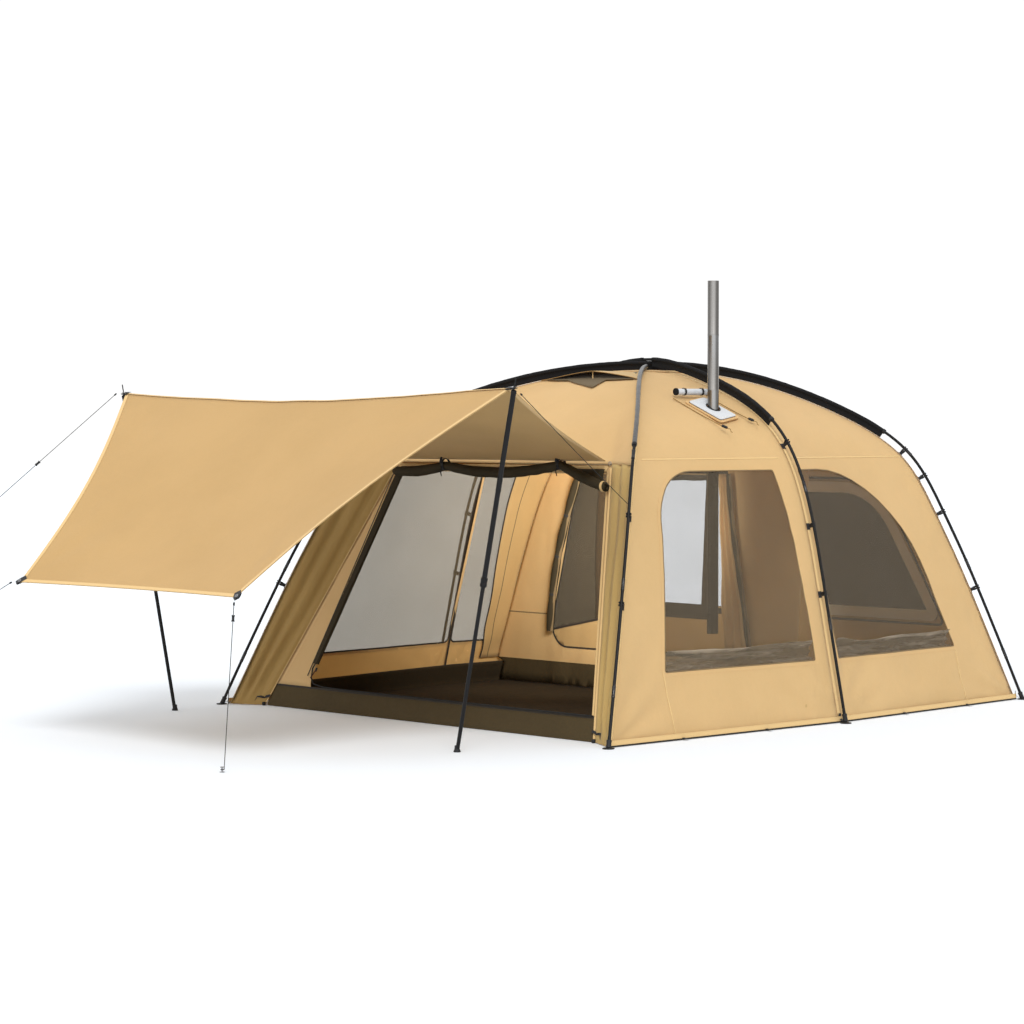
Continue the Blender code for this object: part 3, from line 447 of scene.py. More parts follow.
def new_material(name):
    mat = bpy.data.materials.new(name)
    mat.use_nodes = True
    tree = mat.node_tree
    shader = tree.nodes["Principled BSDF"]
    return mat, tree, shader, tree.nodes["Material Output"]


def mapped(tree, scale=(1, 1, 1), rotation=(0, 0, 0), source="Object"):
    coords = node(tree, "ShaderNodeTexCoord")
    mapping = node(tree, "ShaderNodeMapping")
    mapping.inputs["Scale"].default_value = scale
    mapping.inputs["Rotation"].default_value = rotation
    tree.links.new(coords.outputs[source], mapping.inputs["Vector"])
    return mapping.outputs["Vector"]


def noise(tree, vector, scale, detail=3.0, roughness=0.55):
    made = node(tree, "ShaderNodeTexNoise")
    fill(made, Scale=scale, Detail=detail, Roughness=roughness)
    tree.links.new(vector, made.inputs["Vector"])
    return made.outputs["Fac"]


def ramp(tree, value, low, high, start=0.0, finish=1.0):
    made = node(tree, "ShaderNodeMapRange")
    fill(made, From_Min=start, From_Max=finish, To_Min=low, To_Max=high)
    tree.links.new(value, made.inputs["Value"])
    return made.outputs["Result"]


def math_node(tree, kind, a, b=None):
    made = node(tree, "ShaderNodeMath", operation=kind)
    for socket, value in zip(made.inputs, (a, b)):
        if value is None:
            continue
        if isinstance(value, (int, float)):
            socket.default_value = value
        else:
            tree.links.new(value, socket)
    return made.outputs["Value"]


def tinted(tree, base, other, share):
    made = node(tree, "ShaderNodeMix", data_type="RGBA")
    made.inputs[6].default_value = (*base, 1)
    made.inputs[7].default_value = (*other, 1)
    tree.links.new(share, made.inputs[0])
    return made.outputs[2]


def mix_shaders(tree, share, first, second, output):
    mix = node(tree, "ShaderNodeMixShader")
    if isinstance(share, float):
        mix.inputs[0].default_value = share
    else:
        tree.links.new(share, mix.inputs[0])
    tree.links.new(first.outputs[0], mix.inputs[1])
    tree.links.new(second.outputs[0], mix.inputs[2])
    tree.links.new(mix.outputs[0], output.inputs["Surface"])


def bumped(tree, shader, height, strength, distance, before=None):
    made = node(tree, "ShaderNodeBump")
    fill(made, Strength=strength, Distance=distance)
    tree.links.new(height, made.inputs["Height"])
    if before:
        tree.links.new(before, made.inputs["Normal"])
    if shader:
        tree.links.new(made.outputs["Normal"], shader.inputs["Normal"])
    return made.outputs["Normal"]


def weave_height(tree, pitch):
    """Over-and-under threads along two directions of the cloth."""
    vector = mapped(tree)
    waves = []
    for axis in ("X", "Z", "Y"):
        wave = node(tree, "ShaderNodeTexWave", wave_type="BANDS", bands_direction=axis)
        fill(wave, Scale=math.pi / pitch / 10, Distortion=0.25, Detail=1.0, Detail_Scale=4.0)
        tree.links.new(vector, wave.inputs["Vector"])
        waves.append(wave.outputs["Fac"])
    return math_node(tree, "ADD", math_node(tree, "MULTIPLY", waves[0], waves[1]), waves[2])


def make_canvas(name, base, shade, glow=0.42, crease=0.35):
    """Thin woven cloth that lets some light through, with faint creases and a little fading."""
    mat, tree, shader, output = new_material(name)
    vector = mapped(tree)
    broad = noise(tree, vector, 1.3, 4.0)
    fine = noise(tree, vector, 55.0, 2.0)
    share = math_node(tree, "ADD", ramp(tree, broad, -0.15, 0.75, 0.3, 0.7), ramp(tree, fine, -0.12, 0.12))
    colour = tinted(tree, base, shade, share)
    tree.links.new(colour, shader.inputs["Base Color"])
    tree.links.new(ramp(tree, fine, 0.72, 0.9), shader.inputs["Roughness"])
    pale = max(base) > 0.1
    fill(
        shader, Sheen_Weight=0.12 if pale else 0.01, Sheen_Roughness=0.5,
        Specular_IOR_Level=0.25 if pale else 0.14,
    )
    creases = noise(tree, mapped(tree, (1.0, 1.0, 0.45)), 7.0, 5.0, 0.6)
    soft = bumped(tree, None, creases, crease, 0.012)
    threads = weave_height(tree, CANVAS_PITCH)
    normal = bumped(tree, shader, threads, 0.10, 0.0006, soft)
    back = node(tree, "ShaderNodeBsdfTranslucent")
    tree.links.new(tinted(tree, tuple(min(1, c * 1.25) for c in base), base, share), back.inputs["Color"])
    tree.links.new(normal, back.inputs["Normal"])
    mix_shaders(tree, glow, shader, back, output)
    return mat


def make_net(name, colour, open_share, tint=(1.0, 1.0, 1.0)):
    """Fine insect net: part of each ray goes straight through the holes."""
    mat, tree, shader, output = new_material(name)
    vector = mapped(tree)
    patch = noise(tree, vector, 2.2, 2.0)
    share = ramp(tree, patch, open_share - 0.012, open_share + 0.012, 0.3, 0.7)
    threads = weave_height(tree, NET_PITCH)
    share = math_node(tree, "ADD", share, ramp(tree, threads, 0.02, -0.02, 0.0, 2.0))
    clear = fill(node(tree, "ShaderNodeBsdfTransparent"), Color=(*tint, 1))
    shade = tinted(tree, colour, tuple(c * 0.72 for c in colour), noise(tree, vector, 30.0))
    tree.links.new(shade, shader.inputs["Base Color"])
    fill(shader, Roughness=0.8, Sheen_Weight=0.2, Specular_IOR_Level=0.2)
    mix_shaders(tree, share, shader, clear, output)
    return mat


def make_plain(
    name, base, shade, roughness, metallic=0.0, scale=60.0, bump=0.15, depth=0.0006, stretch=(1, 1, 1),
):
    """Solid material with small changes of tone and surface: plastic, metal or rope."""
    mat, tree, shader, _ = new_material(name)
    vector = mapped(tree, stretch)
    grain = noise(tree, vector, scale, 4.0)
    tree.links.new(
        tinted(tree, base, shade, ramp(tree, grain, 0, 1, 0.3, 0.7)), shader.inputs["Base Color"],
    )
    tree.links.new(
        ramp(tree, grain, roughness - 0.07, roughness + 0.09, 0.3, 0.7), shader.inputs["Roughness"],
    )
    fill(shader, Metallic=metallic, Specular_IOR_Level=0.5 if metallic else 0.22)
    bumped(tree, shader, grain, bump, depth)
    return mat


def make_webbing(name, base, shade, stitching=1.9):
    """Woven tape: ribs across it and a row of stitches near each edge, from its own length and width."""
    mat, tree, shader, _ = new_material(name)
    vector = mapped(tree, source="UV")
    ribs = node(tree, "ShaderNodeTexWave", wave_type="BANDS", bands_direction="X")
    fill(ribs, Scale=math.pi / WEBBING_PITCH / 10, Distortion=0.2, Detail=1.0)
    tree.links.new(vector, ribs.inputs["Vector"])
    split = node(tree, "ShaderNodeSeparateXYZ")
    tree.links.new(vector, split.inputs[0])
    across = math_node(tree, "ABSOLUTE", math_node(tree, "SUBTRACT", split.outputs[1], 0.5))
    from_line = math_node(tree, "ABSOLUTE", math_node(tree, "SUBTRACT", across, STITCH_LINE))
    line = math_node(tree, "LESS_THAN", from_line, 0.05)
    phase = math_node(tree, "FRACT", math_node(tree, "MULTIPLY", split.outputs[0], STITCHES_PER_M))
    dash = math_node(tree, "GREATER_THAN", phase, 0.3)
    stitch = math_node(tree, "MULTIPLY", line, dash)
    grain = noise(tree, mapped(tree), 80.0, 3.0)
    cloth_tone = tinted(tree, base, shade, grain)
    made = node(tree, "ShaderNodeMix", data_type="RGBA")
    tree.links.new(math_node(tree, "MULTIPLY", stitch, 0.55), made.inputs[0])
    tree.links.new(cloth_tone, made.inputs[6])
    made.inputs[7].default_value = (*[min(1, c * stitching + 0.01) for c in base], 1)
    tree.links.new(made.outputs[2], shader.inputs["Base Color"])
    fill(shader, Roughness=0.75, Sheen_Weight=0.1, Specular_IOR_Level=0.3)
    height = math_node(tree, "ADD", math_node(tree, "MULTIPLY", ribs.outputs["Fac"], 0.5), stitch)
    bumped(tree, shader, height, 0.35, 0.0005)
    return mat


def make_steel():
    """Drawn stainless pipe: fine lines round it, lengthwise streaks, heat tint, painted reflection bands
    and a near black low part.
    """
    mat, tree, shader, _ = new_material("brushed_stainless")
    lines = noise(tree, mapped(tree, (3.0, 3.0, 260.0)), 6.0, 3.0)
    smear = noise(tree, mapped(tree, (1, 1, 0.3)), 9.0, 3.0)
    height = node(tree, "ShaderNodeSeparateXYZ")
    tree.links.new(mapped(tree), height.inputs[0])
    heat = ramp(tree, height.outputs[2], 1.0, 0.0, 1.5, 2.3)
    share = math_node(
        tree, "ADD", math_node(tree, "MULTIPLY", heat, 0.4), ramp(tree, smear, -0.1, 0.25, 0.3, 0.7),
    )
    steel_tone = tinted(tree, (0.46, 0.45, 0.435), (0.40, 0.36, 0.31), share)
    # Painted reflection: four darker and lighter bands round the pipe, fixed to it, stand in for the dark
    # edges and highlights of the steel.
    turn = math_node(
        tree, "ARCTAN2",
        math_node(tree, "SUBTRACT", height.outputs[1], PIPE_XY[1]),
        math_node(tree, "SUBTRACT", height.outputs[0], PIPE_XY[0]),
    )
    painted_reflection_bands = math_node(
        tree, "COSINE", math_node(tree, "MULTIPLY", math_node(tree, "ADD", turn, PIPE_REFLECTION_TURN), 4.0),
    )
    painted_reflection_mix = node(tree, "ShaderNodeMix", data_type="RGBA", blend_type="MULTIPLY")
    painted_reflection_mix.inputs[0].default_value = 1.0
    tree.links.new(steel_tone, painted_reflection_mix.inputs[6])
    tree.links.new(
        tinted(tree, (0.34, 0.335, 0.33), (1, 1, 1), ramp(tree, painted_reflection_bands, 0, 1, -0.7, 0.8)),
        painted_reflection_mix.inputs[7],
    )
    # Near black below 1.72 to 1.80 m, the part of the pipe under the stove plate.
    dark_below_plate = node(tree, "ShaderNodeMix", data_type="RGBA")
    tree.links.new(ramp(tree, height.outputs[2], 1.0, 0.0, 1.72, 1.80), dark_below_plate.inputs[0])
    tree.links.new(painted_reflection_mix.outputs[2], dark_below_plate.inputs[6])
    dark_below_plate.inputs[7].default_value = (0.030, 0.027, 0.024, 1)
    tree.links.new(dark_below_plate.outputs[2], shader.inputs["Base Color"])
    tree.links.new(ramp(tree, lines, 0.2, 0.42, 0.3, 0.7), shader.inputs["Roughness"])
    fill(shader, Metallic=1.0)
    bumped(tree, shader, lines, 0.12, 0.0004)
    return mat


def make_bunched_net():
    """Several layers of net, clear between the folds; its lighter and darker streaks along the folds are
    painted highlight and shade.
    """
    mat, tree, shader, output = new_material("bunched_net")
    # Painted highlight and shade: the colour runs lighter and darker in long streaks along the folds.
    streaks = noise(tree, mapped(tree, (1.0, 1.5, 15.0), (0.16, 0.0, 0.0)), 2.2, 4.0, 0.5)
    fine = noise(tree, mapped(tree, (1.0, 3.0, 40.0), (0.10, 0.0, 0.0)), 3.0, 3.0, 0.5)
    share = math_node(
        tree, "ADD", ramp(tree, streaks, -0.25, 1.1, 0.36, 0.66), ramp(tree, fine, -0.12, 0.12, 0.3, 0.7),
    )
    tree.links.new(
        tinted(tree, (0.20, 0.158, 0.100), (0.44, 0.365, 0.265), share), shader.inputs["Base Color"],
    )
    fill(shader, Roughness=0.8, Sheen_Weight=0.3, Specular_IOR_Level=0.2)
    bumped(tree, shader, streaks, 0.8, 0.012)
    clear = fill(node(tree, "ShaderNodeBsdfTransparent"), Color=(1, 0.98, 0.95, 1))
    mix_shaders(tree, ramp(tree, share, 0.50, 0.34, 0.0, 0.9), shader, clear, output)
    return mat


CANVAS = make_canvas("sand_canvas_cloth", (0.775, 0.555, 0.272), (0.725, 0.50, 0.232), glow=0.34)
# The wings are the walls' canvas painted darker, as the shade under the awning; the far wing is painted
# darker still.
WING_PAINTED_SHADE = {
    1: make_canvas(
        "near_wing_canvas_painted_shade", (0.63, 0.455, 0.18), (0.55, 0.385, 0.14), glow=0.30, crease=0.6,
    ),
    -1: make_canvas(
        "far_wing_canvas_painted_shade", (0.50, 0.335, 0.12), (0.43, 0.28, 0.095), glow=0.30, crease=0.6,
    ),
}
# The inner faces of the walls and roof are the same canvas painted darker, as the shade inside the tent.
CANVAS_PAINTED_SHADE = make_canvas("sand_canvas_painted_shade", (0.66, 0.47, 0.215), (0.60, 0.42, 0.18), glow=0.42)
AWNING_CLOTH = make_canvas(
    "awning_canvas_cloth", (0.605, 0.400, 0.172), (0.565, 0.365, 0.150), glow=0.26, crease=0.2,
)
# The awning's underside is its canvas painted darker, as the shade under it.
AWNING_PAINTED_SHADE = make_canvas(
    "awning_canvas_painted_shade", (0.50, 0.345, 0.135), (0.45, 0.30, 0.112), glow=0.30, crease=0.2,
)
INNER_CLOTH = make_canvas("partition_cloth", (0.80, 0.60, 0.31), (0.74, 0.54, 0.26), glow=0.45)
# The seam tape is the canvas colour painted a little darker, as the shade along the seams it covers.
TAN_TAPE = make_webbing("sand_tape", (0.69, 0.475, 0.215), (0.63, 0.43, 0.19), stitching=0.72)
PALE_TAPE = make_webbing("pale_tape", (0.95, 0.84, 0.62), (0.90, 0.76, 0.52), stitching=0.8)
BROWN_TAPE = make_webbing("brown_tape", (0.20, 0.135, 0.06), (0.15, 0.10, 0.045))
DARK_TAPE = make_webbing("dark_tape", (0.035, 0.027, 0.018), (0.022, 0.017, 0.012))
BLACK_WEB = make_webbing("black_web", (0.012, 0.012, 0.013), (0.02, 0.02, 0.021))
OLIVE = make_canvas("olive_lining", (0.046, 0.035, 0.018), (0.030, 0.023, 0.012), glow=0.10, crease=0.6)
# Dark brown for the visor's underside and the net under it: painted shadow of the visor.
VENT_PAINTED_SHADE = make_canvas(
    "vent_painted_shade_cloth", (0.135, 0.096, 0.045), (0.085, 0.060, 0.028), glow=0.10, crease=0.6,
)
# The groundsheet's inner faces are its brown painted darker, as the shade inside the tent.
TUB_PAINTED_SHADE = make_canvas(
    "brown_coated_painted_shade", (0.036, 0.025, 0.012), (0.024, 0.017, 0.009), glow=0.03, crease=0.8,
)
TUB = make_canvas("brown_coated_cloth", (0.078, 0.056, 0.026), (0.055, 0.039, 0.018), glow=0.05, crease=0.8)
SLEEVE_CLOTH = make_canvas(
    "black_sleeve_cloth", (0.008, 0.008, 0.009), (0.014, 0.014, 0.015), glow=0.0, crease=0.5,
)
NET = make_net("fine_net", (0.16, 0.125, 0.08), 0.71)
DARK_NET = make_net("dense_net", (0.15, 0.12, 0.075), 0.505, (1.0, 0.955, 0.88))
CLEAR_NET = make_net("open_net", (0.30, 0.27, 0.22), 0.95)
SHADE_NET = make_net("inner_door_net", (0.065, 0.050, 0.030), 0.38, (1.0, 0.93, 0.80))
BUNCHED_NET = make_bunched_net()
POLE = make_plain(
    "dark_anodised", (0.005, 0.005, 0.0055), (0.009, 0.009, 0.0095), 0.5, 0.0, 30.0, 0.1, 0.0003,
    (1, 1, 6),
)
JOINT = make_plain(
    "dark_joint", (0.035, 0.036, 0.038), (0.05, 0.05, 0.052), 0.30, 0.8, 30.0, 0.1, 0.0003, (1, 1, 6),
)
RED_CORD = make_plain(
    "brown_pull_cord", (0.075, 0.022, 0.014), (0.05, 0.015, 0.01), 0.7, 0.0, 300.0, 0.5, 0.0008,
)
GREY_POLE = make_plain(
    "grey_anodised", (0.155, 0.155, 0.155), (0.12, 0.12, 0.122), 0.32, 0.7, 30.0, 0.1, 0.0003, (1, 1, 6),
)
STEEL = make_steel()
WHITE_STITCHING = make_webbing("white_stitching", (0.62, 0.61, 0.59), (0.55, 0.54, 0.52))
PEG_STEEL = make_plain("zinc_steel", (0.42, 0.42, 0.43), (0.33, 0.33, 0.34), 0.4, 1.0, 90.0)
PLASTIC = make_plain(
    "black_moulded_plastic", (0.014, 0.014, 0.015), (0.022, 0.022, 0.023), 0.48, 0.0, 140.0,
)
CORD = make_plain("black_cord", (0.014, 0.014, 0.014), (0.028, 0.028, 0.028), 0.8, 0.0, 420.0, 0.5, 0.0008)
TAN_CORD = make_plain("tan_cord", (0.33, 0.20, 0.075), (0.24, 0.14, 0.05), 0.8, 0.0, 420.0, 0.5, 0.0008)
JACK = make_canvas("white_heatproof_cloth", (0.60, 0.62, 0.64), (0.50, 0.52, 0.545), glow=0.0, crease=0.5)
BLACK_COVER = make_canvas(
    "black_cover_cloth", (0.016, 0.015, 0.014), (0.024, 0.022, 0.02), glow=0.02, crease=0.5,
)

# The material slot of each look; place_object looks it up unless a piece names another, and does nothing
# more with it
SLOTS = {}
for slot_name, mats in (
    ("sand_canvas", (CANVAS, CANVAS_PAINTED_SHADE, AWNING_CLOTH, INNER_CLOTH, TAN_TAPE, PALE_TAPE,)),
    ("black_webbing", (DARK_TAPE, BLACK_WEB, SLEEVE_CLOTH, GREY_POLE, CORD, BLACK_COVER,)),
    ("brown_net", (NET, DARK_NET, CLEAR_NET, SHADE_NET, BUNCHED_NET,)),
    ("brown_groundsheet", (TUB,)),
    ("dark_anodised_pole", (POLE, JOINT,)),
    ("brushed_steel", (STEEL, PEG_STEEL,)),
    ("black_plastic", (PLASTIC,)),
    ("white_stove_cloth", (JACK, WHITE_STITCHING,)),
):
    for mat in mats:
        SLOTS[mat.name] = slot_name


# Mesh helpers


def place_object(name, mesh, mat, body="tent", slot=None):
    piece = bpy.data.objects.new(name, mesh)
    piece.data.materials.append(mat)
    bpy.context.scene.collection.objects.link(piece)
    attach(piece, body)
    slot = slot or SLOTS.get(mat.name)
    return piece


def smooth(piece, angle=50):
    piece.data.shade_smooth()
    piece.data.set_sharp_from_angle(angle=math.radians(angle))


def from_bmesh(name, bm, mat, body="tent", slot=None, angle=35):
    """A piece of this mesh, smooth but for edges sharper than an angle."""
    mesh = bpy.data.meshes.new(name)
    bm.to_mesh(mesh)
    bm.free()
    piece = place_object(name, mesh, mat, body, slot)
    smooth(piece, angle)
    return piece


def bridge(bm, rows, closed=False):
    """Faces between each row of points and the next."""
    for near, far in zip(rows, rows[1:]):
        count = len(near)
        for k in range(count if closed else count - 1):
            m = (k + 1) % count
            bm.faces.new((near[k], near[m], far[m], far[k]))


def spaced(low, high, count):
    return np.linspace(low, high, count + 1)


def circle(centre, first, second, count, closed=False):
    """Points round a circle or ellipse, from its two half axes. A closed one repeats its first point."""
    angles = spaced(0, 2 * math.pi, count)[: count + closed]
    return [centre + first * math.cos(a) + second * math.sin(a) for a in angles]


def grid(place, u_values, v_values):
    u, v = np.meshgrid(u_values, v_values)
    return place(u.ravel(), v.ravel()).reshape(len(v_values), len(u_values), 3)


def grid_normals(points, outward):
    across = np.gradient(points, axis=1)
    along = np.gradient(points, axis=0)
    normals = unit(np.cross(across, along))
    if (normals.reshape(-1, 3).mean(0) @ np.asarray(outward, float)) < 0:
        normals = -normals
    return normals


def grid_bmesh(points, outward):
    bm = bmesh.new()
    rows, columns = points.shape[:2]
    verts = [bm.verts.new(p) for p in points.reshape(-1, 3)]
    for i in range(rows - 1):
        for j in range(columns - 1):
            k = i * columns + j
            bm.faces.new((verts[k], verts[k + 1], verts[k + columns + 1], verts[k + columns]))
    bm.normal_update()
    facing = Vector((0, 0, 0))
    for face in bm.faces:
        facing += face.normal * face.calc_area()
    if facing.dot(Vector(outward)) < 0:
        bmesh.ops.reverse_faces(bm, faces=bm.faces)
    bm.normal_update()
    return bm


def cut_inside(bm, outline, axis):
    """Splits the faces along a convex outline, seen along an axis, and returns those inside it."""
    a, b = [k for k in range(3) if k != axis]
    centre = np.mean(outline, 0)
    inside = list(bm.faces)
    for i, here in enumerate(outline):
        there = outline[(i + 1) % len(outline)]
        way = np.subtract(there, here)
        if np.hypot(*way) < 1e-7:
            continue
        out = np.array((way[1], -way[0]))
        if out @ (centre - here) > 0:
            out = -out
        point, normal = [0.0] * 3, [0.0] * 3
        point[a], point[b] = here
        normal[a], normal[b] = out / np.hypot(*out)
        parts = set(inside)
        for face in inside:
            parts.update(face.edges)
            parts.update(face.verts)
        cut = bmesh.ops.bisect_plane(bm, geom=list(parts), dist=1e-6, plane_co=point, plane_no=normal)
        faces = [f for f in cut["geom"] if isinstance(f, bmesh.types.BMFace) and f.is_valid]
        keep = Vector(normal)
        inside = [f for f in faces if (f.calc_center_median() - Vector(point)).dot(keep) < 0]
    return inside


def piece_of(faces):
    """A new mesh of copies of these faces."""
    made = bmesh.new()
    copies = {}
    for face in faces:
        corners = []
        for vert in face.verts:
            if vert not in copies:
                copies[vert] = made.verts.new(vert.co)
            corners.append(copies[vert])
        made.faces.new(corners)
    made.normal_update()
    return made


def flat_cut(bm):
    """Width, length and area of a piece of cloth, along its own two main directions."""
    points = np.array([tuple(v.co) for v in bm.verts])
    away = points - points.mean(0)
    _, ways = np.linalg.eigh(away.T @ away)
    extent = np.ptp(away @ ways, axis=0)
    return float(extent[1]), float(extent[2]), float(sum(face.calc_area() for face in bm.faces))


CUTS = {}


def cloth_from(
    name, bm, mat, thickness=CLOTH_T, offset=-1.0, body="tent", slot=None, push=0.0, inside=None,
):
    """A cloth of a mesh, with a second material on the inner side where one is given: a darker copy,
    painted shade.
    """
    if push:
        bm.normal_update()
        moves = [v.normal * push for v in bm.verts]
        for vert, move in zip(bm.verts, moves):
            vert.co += move
    CUTS[name] = flat_cut(bm)
    mesh = bpy.data.meshes.new(name)
    bm.to_mesh(mesh)
    bm.free()
    piece = place_object(name, mesh, mat, body, slot)
    piece.data.shade_smooth()
    solid = piece.modifiers.new("thickness", "SOLIDIFY")
    solid.thickness = thickness
    solid.offset = offset
    if inside:
        piece.data.materials.append(inside)
        solid.material_offset = len(piece.data.materials) - 1
    return piece


def ribbon(
    name, points, normals, width, mat, lift=0.0015, thickness=0.0012, closed=False, body="tent",
    slot=None,
):
    """A flat tape laid along a line on a surface, with its length and width as UV."""
    points, normals = np.asarray(points, float), unit(normals)
    if closed:
        tangents = np.roll(points, -1, 0) - np.roll(points, 1, 0)
    else:
        tangents = np.gradient(points, axis=0)
    across = unit(np.cross(unit(tangents), normals))
    widths = np.broadcast_to(np.asarray(width, float), (len(points),))[:, None]
    base = points + normals * lift
    rings = [
        base - across * widths / 2, base + across * widths / 2,
        base + across * widths / 2 + normals * thickness, base - across * widths / 2 + normals * thickness,
    ]
    steps = np.linalg.norm(np.diff(points, axis=0, append=points[:1] if closed else points[-1:]), axis=1)
    lengths = np.concatenate(([0.0], np.cumsum(steps)))
    bm = bmesh.new()
    layer = bm.loops.layers.uv.new("UVMap")
    verts = [[bm.verts.new(ring[i]) for ring in rings] for i in range(len(points))]
    count = len(points)
    sides = (0.0, 1.0, 1.0, 0.0)
    for i in range(count if closed else count - 1):
        j = (i + 1) % count
        for k in range(4):
            m = (k + 1) % 4
            face = bm.faces.new((verts[i][k], verts[i][m], verts[j][m], verts[j][k]))
            values = (
                (lengths[i], sides[k]), (lengths[i], sides[m]), (lengths[i + 1], sides[m]),
                (lengths[i + 1], sides[k]),
            )
            for loop, value in zip(face.loops, values):
                loop[layer].uv = value
    if not closed:
        bm.faces.new(list(reversed(verts[0])))
        bm.faces.new(verts[-1])
    bmesh.ops.recalc_face_normals(bm, faces=bm.faces)
    return from_bmesh(name, bm, mat, body, slot)


def tube(name, points, radius, mat, resolution=3, body="tent", slot=None, radii=None):
    curve = bpy.data.curves.new(name, "CURVE")
    curve.dimensions = "3D"
    curve.bevel_depth = radius
    curve.bevel_resolution = resolution
    curve.use_fill_caps = True
    line = curve.splines.new("POLY")
    line.points.add(len(points) - 1)
    for i, point in enumerate(points):
        line.points[i].co = (*[float(x) for x in point], 1)
        if radii is not None:
            line.points[i].radius = float(radii[i])
    line.use_smooth = True
    return place_object(name, curve, mat, body, slot)


def frame_matrix(origin, z_axis, x_hint=(1, 0, 0)):
    z = unit(z_axis)
    x = np.asarray(x_hint, float)
    if abs(x @ z) > 0.95:
        x = np.array((0, 1.0, 0))
    x = unit(x - z * (x @ z))
    y = np.cross(z, x)
    matrix = Matrix.Identity(4)
    for i in range(3):
        matrix[i][0], matrix[i][1], matrix[i][2], matrix[i][3] = x[i], y[i], z[i], origin[i]
    return matrix


def lathe(name, profile, matrix, mat, steps=32, body="tent", slot=None):
    """A turned piece: profile points are (radius, height) from one end to the other."""
    bm = bmesh.new()
    rings = []
    for radius, height in profile:
        if radius < 1e-6:
            rings.append([bm.verts.new((0, 0, height))])
            continue
        ring = []
        for k in range(steps):
            angle = 2 * math.pi * k / steps
            ring.append(bm.verts.new((radius * math.cos(angle), radius * math.sin(angle), height)))
        rings.append(ring)
    for near, far in zip(rings, rings[1:]):
        for k in range(steps):
            m = (k + 1) % steps
            corners = []
            for vert in (near[k % len(near)], near[m % len(near)], far[m % len(far)], far[k % len(far)]):
                if vert not in corners:
                    corners.append(vert)
            if len(corners) > 2:
                bm.faces.new(corners)
    for ring in (rings[0], rings[-1]):
        if len(ring) > 1:
            bm.faces.new(ring)
    bmesh.ops.recalc_face_normals(bm, faces=bm.faces)
    bmesh.ops.transform(bm, matrix=matrix, verts=bm.verts)
    return from_bmesh(name, bm, mat, body, slot)


def block(name, size, matrix, mat, bevel=0.002, body="tent", slot=None):
    """A block with rounded edges."""
    bm = bmesh.new()
    bmesh.ops.create_cube(bm, size=1.0)
    bmesh.ops.scale(bm, vec=size, verts=bm.verts)
    bmesh.ops.bevel(bm, geom=list(bm.edges), offset=bevel, segments=3, affect="EDGES", profile=0.5)
    bmesh.ops.transform(bm, matrix=matrix, verts=bm.verts)
    return from_bmesh(name, bm, mat, body, slot)


def toggle(name, half, neck, width, belly, matrix):
    """A barrel toggle, as on draw cords."""
    rise = half - 0.001
    profile = [(0, -half), (neck, -rise), (width, -belly), (width, belly), (neck, rise), (0, half)]
    return lathe(name, profile, matrix, PLASTIC, 16)


def on_surface(tree, outline, axis, start, toward):
    """Points and normals where lines along an axis through the outline meet the surface."""
    points, normals = [], []
    a, b = [k for k in range(3) if k != axis]
    direction = [0.0] * 3
    direction[axis] = toward
    for first, second in outline:
        origin = [0.0] * 3
        origin[axis], origin[a], origin[b] = start, first, second
        spot, normal, _, _ = tree.ray_cast(Vector(origin), Vector(direction))
        if spot is None:
            continue
        if normal.dot(Vector(direction)) > 0:
            normal = -normal
        points.append(tuple(spot))
        normals.append(tuple(normal))
    return np.array(points), np.array(normals)


def denser(outline, step=0.03, closed=True):
    """The outline with points no further apart than a step."""
    made = []
    count = len(outline)
    for i in range(count if closed else count - 1):
        here, there = np.array(outline[i], float), np.array(outline[(i + 1) % count], float)
        pieces = max(1, int(math.ceil(np.linalg.norm(there - here) / step)))
        for k in range(pieces):
            made.append(here + (there - here) * k / pieces)
    if not closed:
        made.append(np.array(outline[-1], float))
    return made


# Camera and stage


def make_camera():
    data = bpy.data.cameras.new("camera")
    camera = bpy.data.objects.new("camera", data)
    camera.location = (12.049, -12.845, 1.776)
    camera.rotation_euler = (math.radians(90 - 1.807), 0, math.radians(45.548))
    data.lens = 96.41
    data.sensor_width = 36.0
    data.clip_end = 400.0
    bpy.context.scene.collection.objects.link(camera)
    bpy.context.scene.camera = camera
    bpy.context.scene.view_settings.view_transform = "Standard"


def make_stage():
    bm = bmesh.new()
    bmesh.ops.create_grid(bm, x_segments=1, y_segments=1, size=90.0)
    mesh = bpy.data.meshes.new("floor")
    bm.to_mesh(mesh)
    bm.free()
    floor = bpy.data.objects.new("floor", mesh)
    floor.location.z = -0.001
    mat, tree, shader, output = new_material("studio_floor")
    fill(shader, Base_Color=(0.75, 0.790, 0.835, 1), Roughness=0.9, Specular_IOR_Level=0.0)
    glow = fill(node(tree, "ShaderNodeEmission"), Color=(1, 1, 1, 1), Strength=0.08)
    both = node(tree, "ShaderNodeAddShader")
    tree.links.new(shader.outputs[0], both.inputs[0])
    tree.links.new(glow.outputs[0], both.inputs[1])
    tree.links.new(both.outputs[0], output.inputs["Surface"])
    mesh.materials.append(mat)
    bpy.context.scene.collection.objects.link(floor)


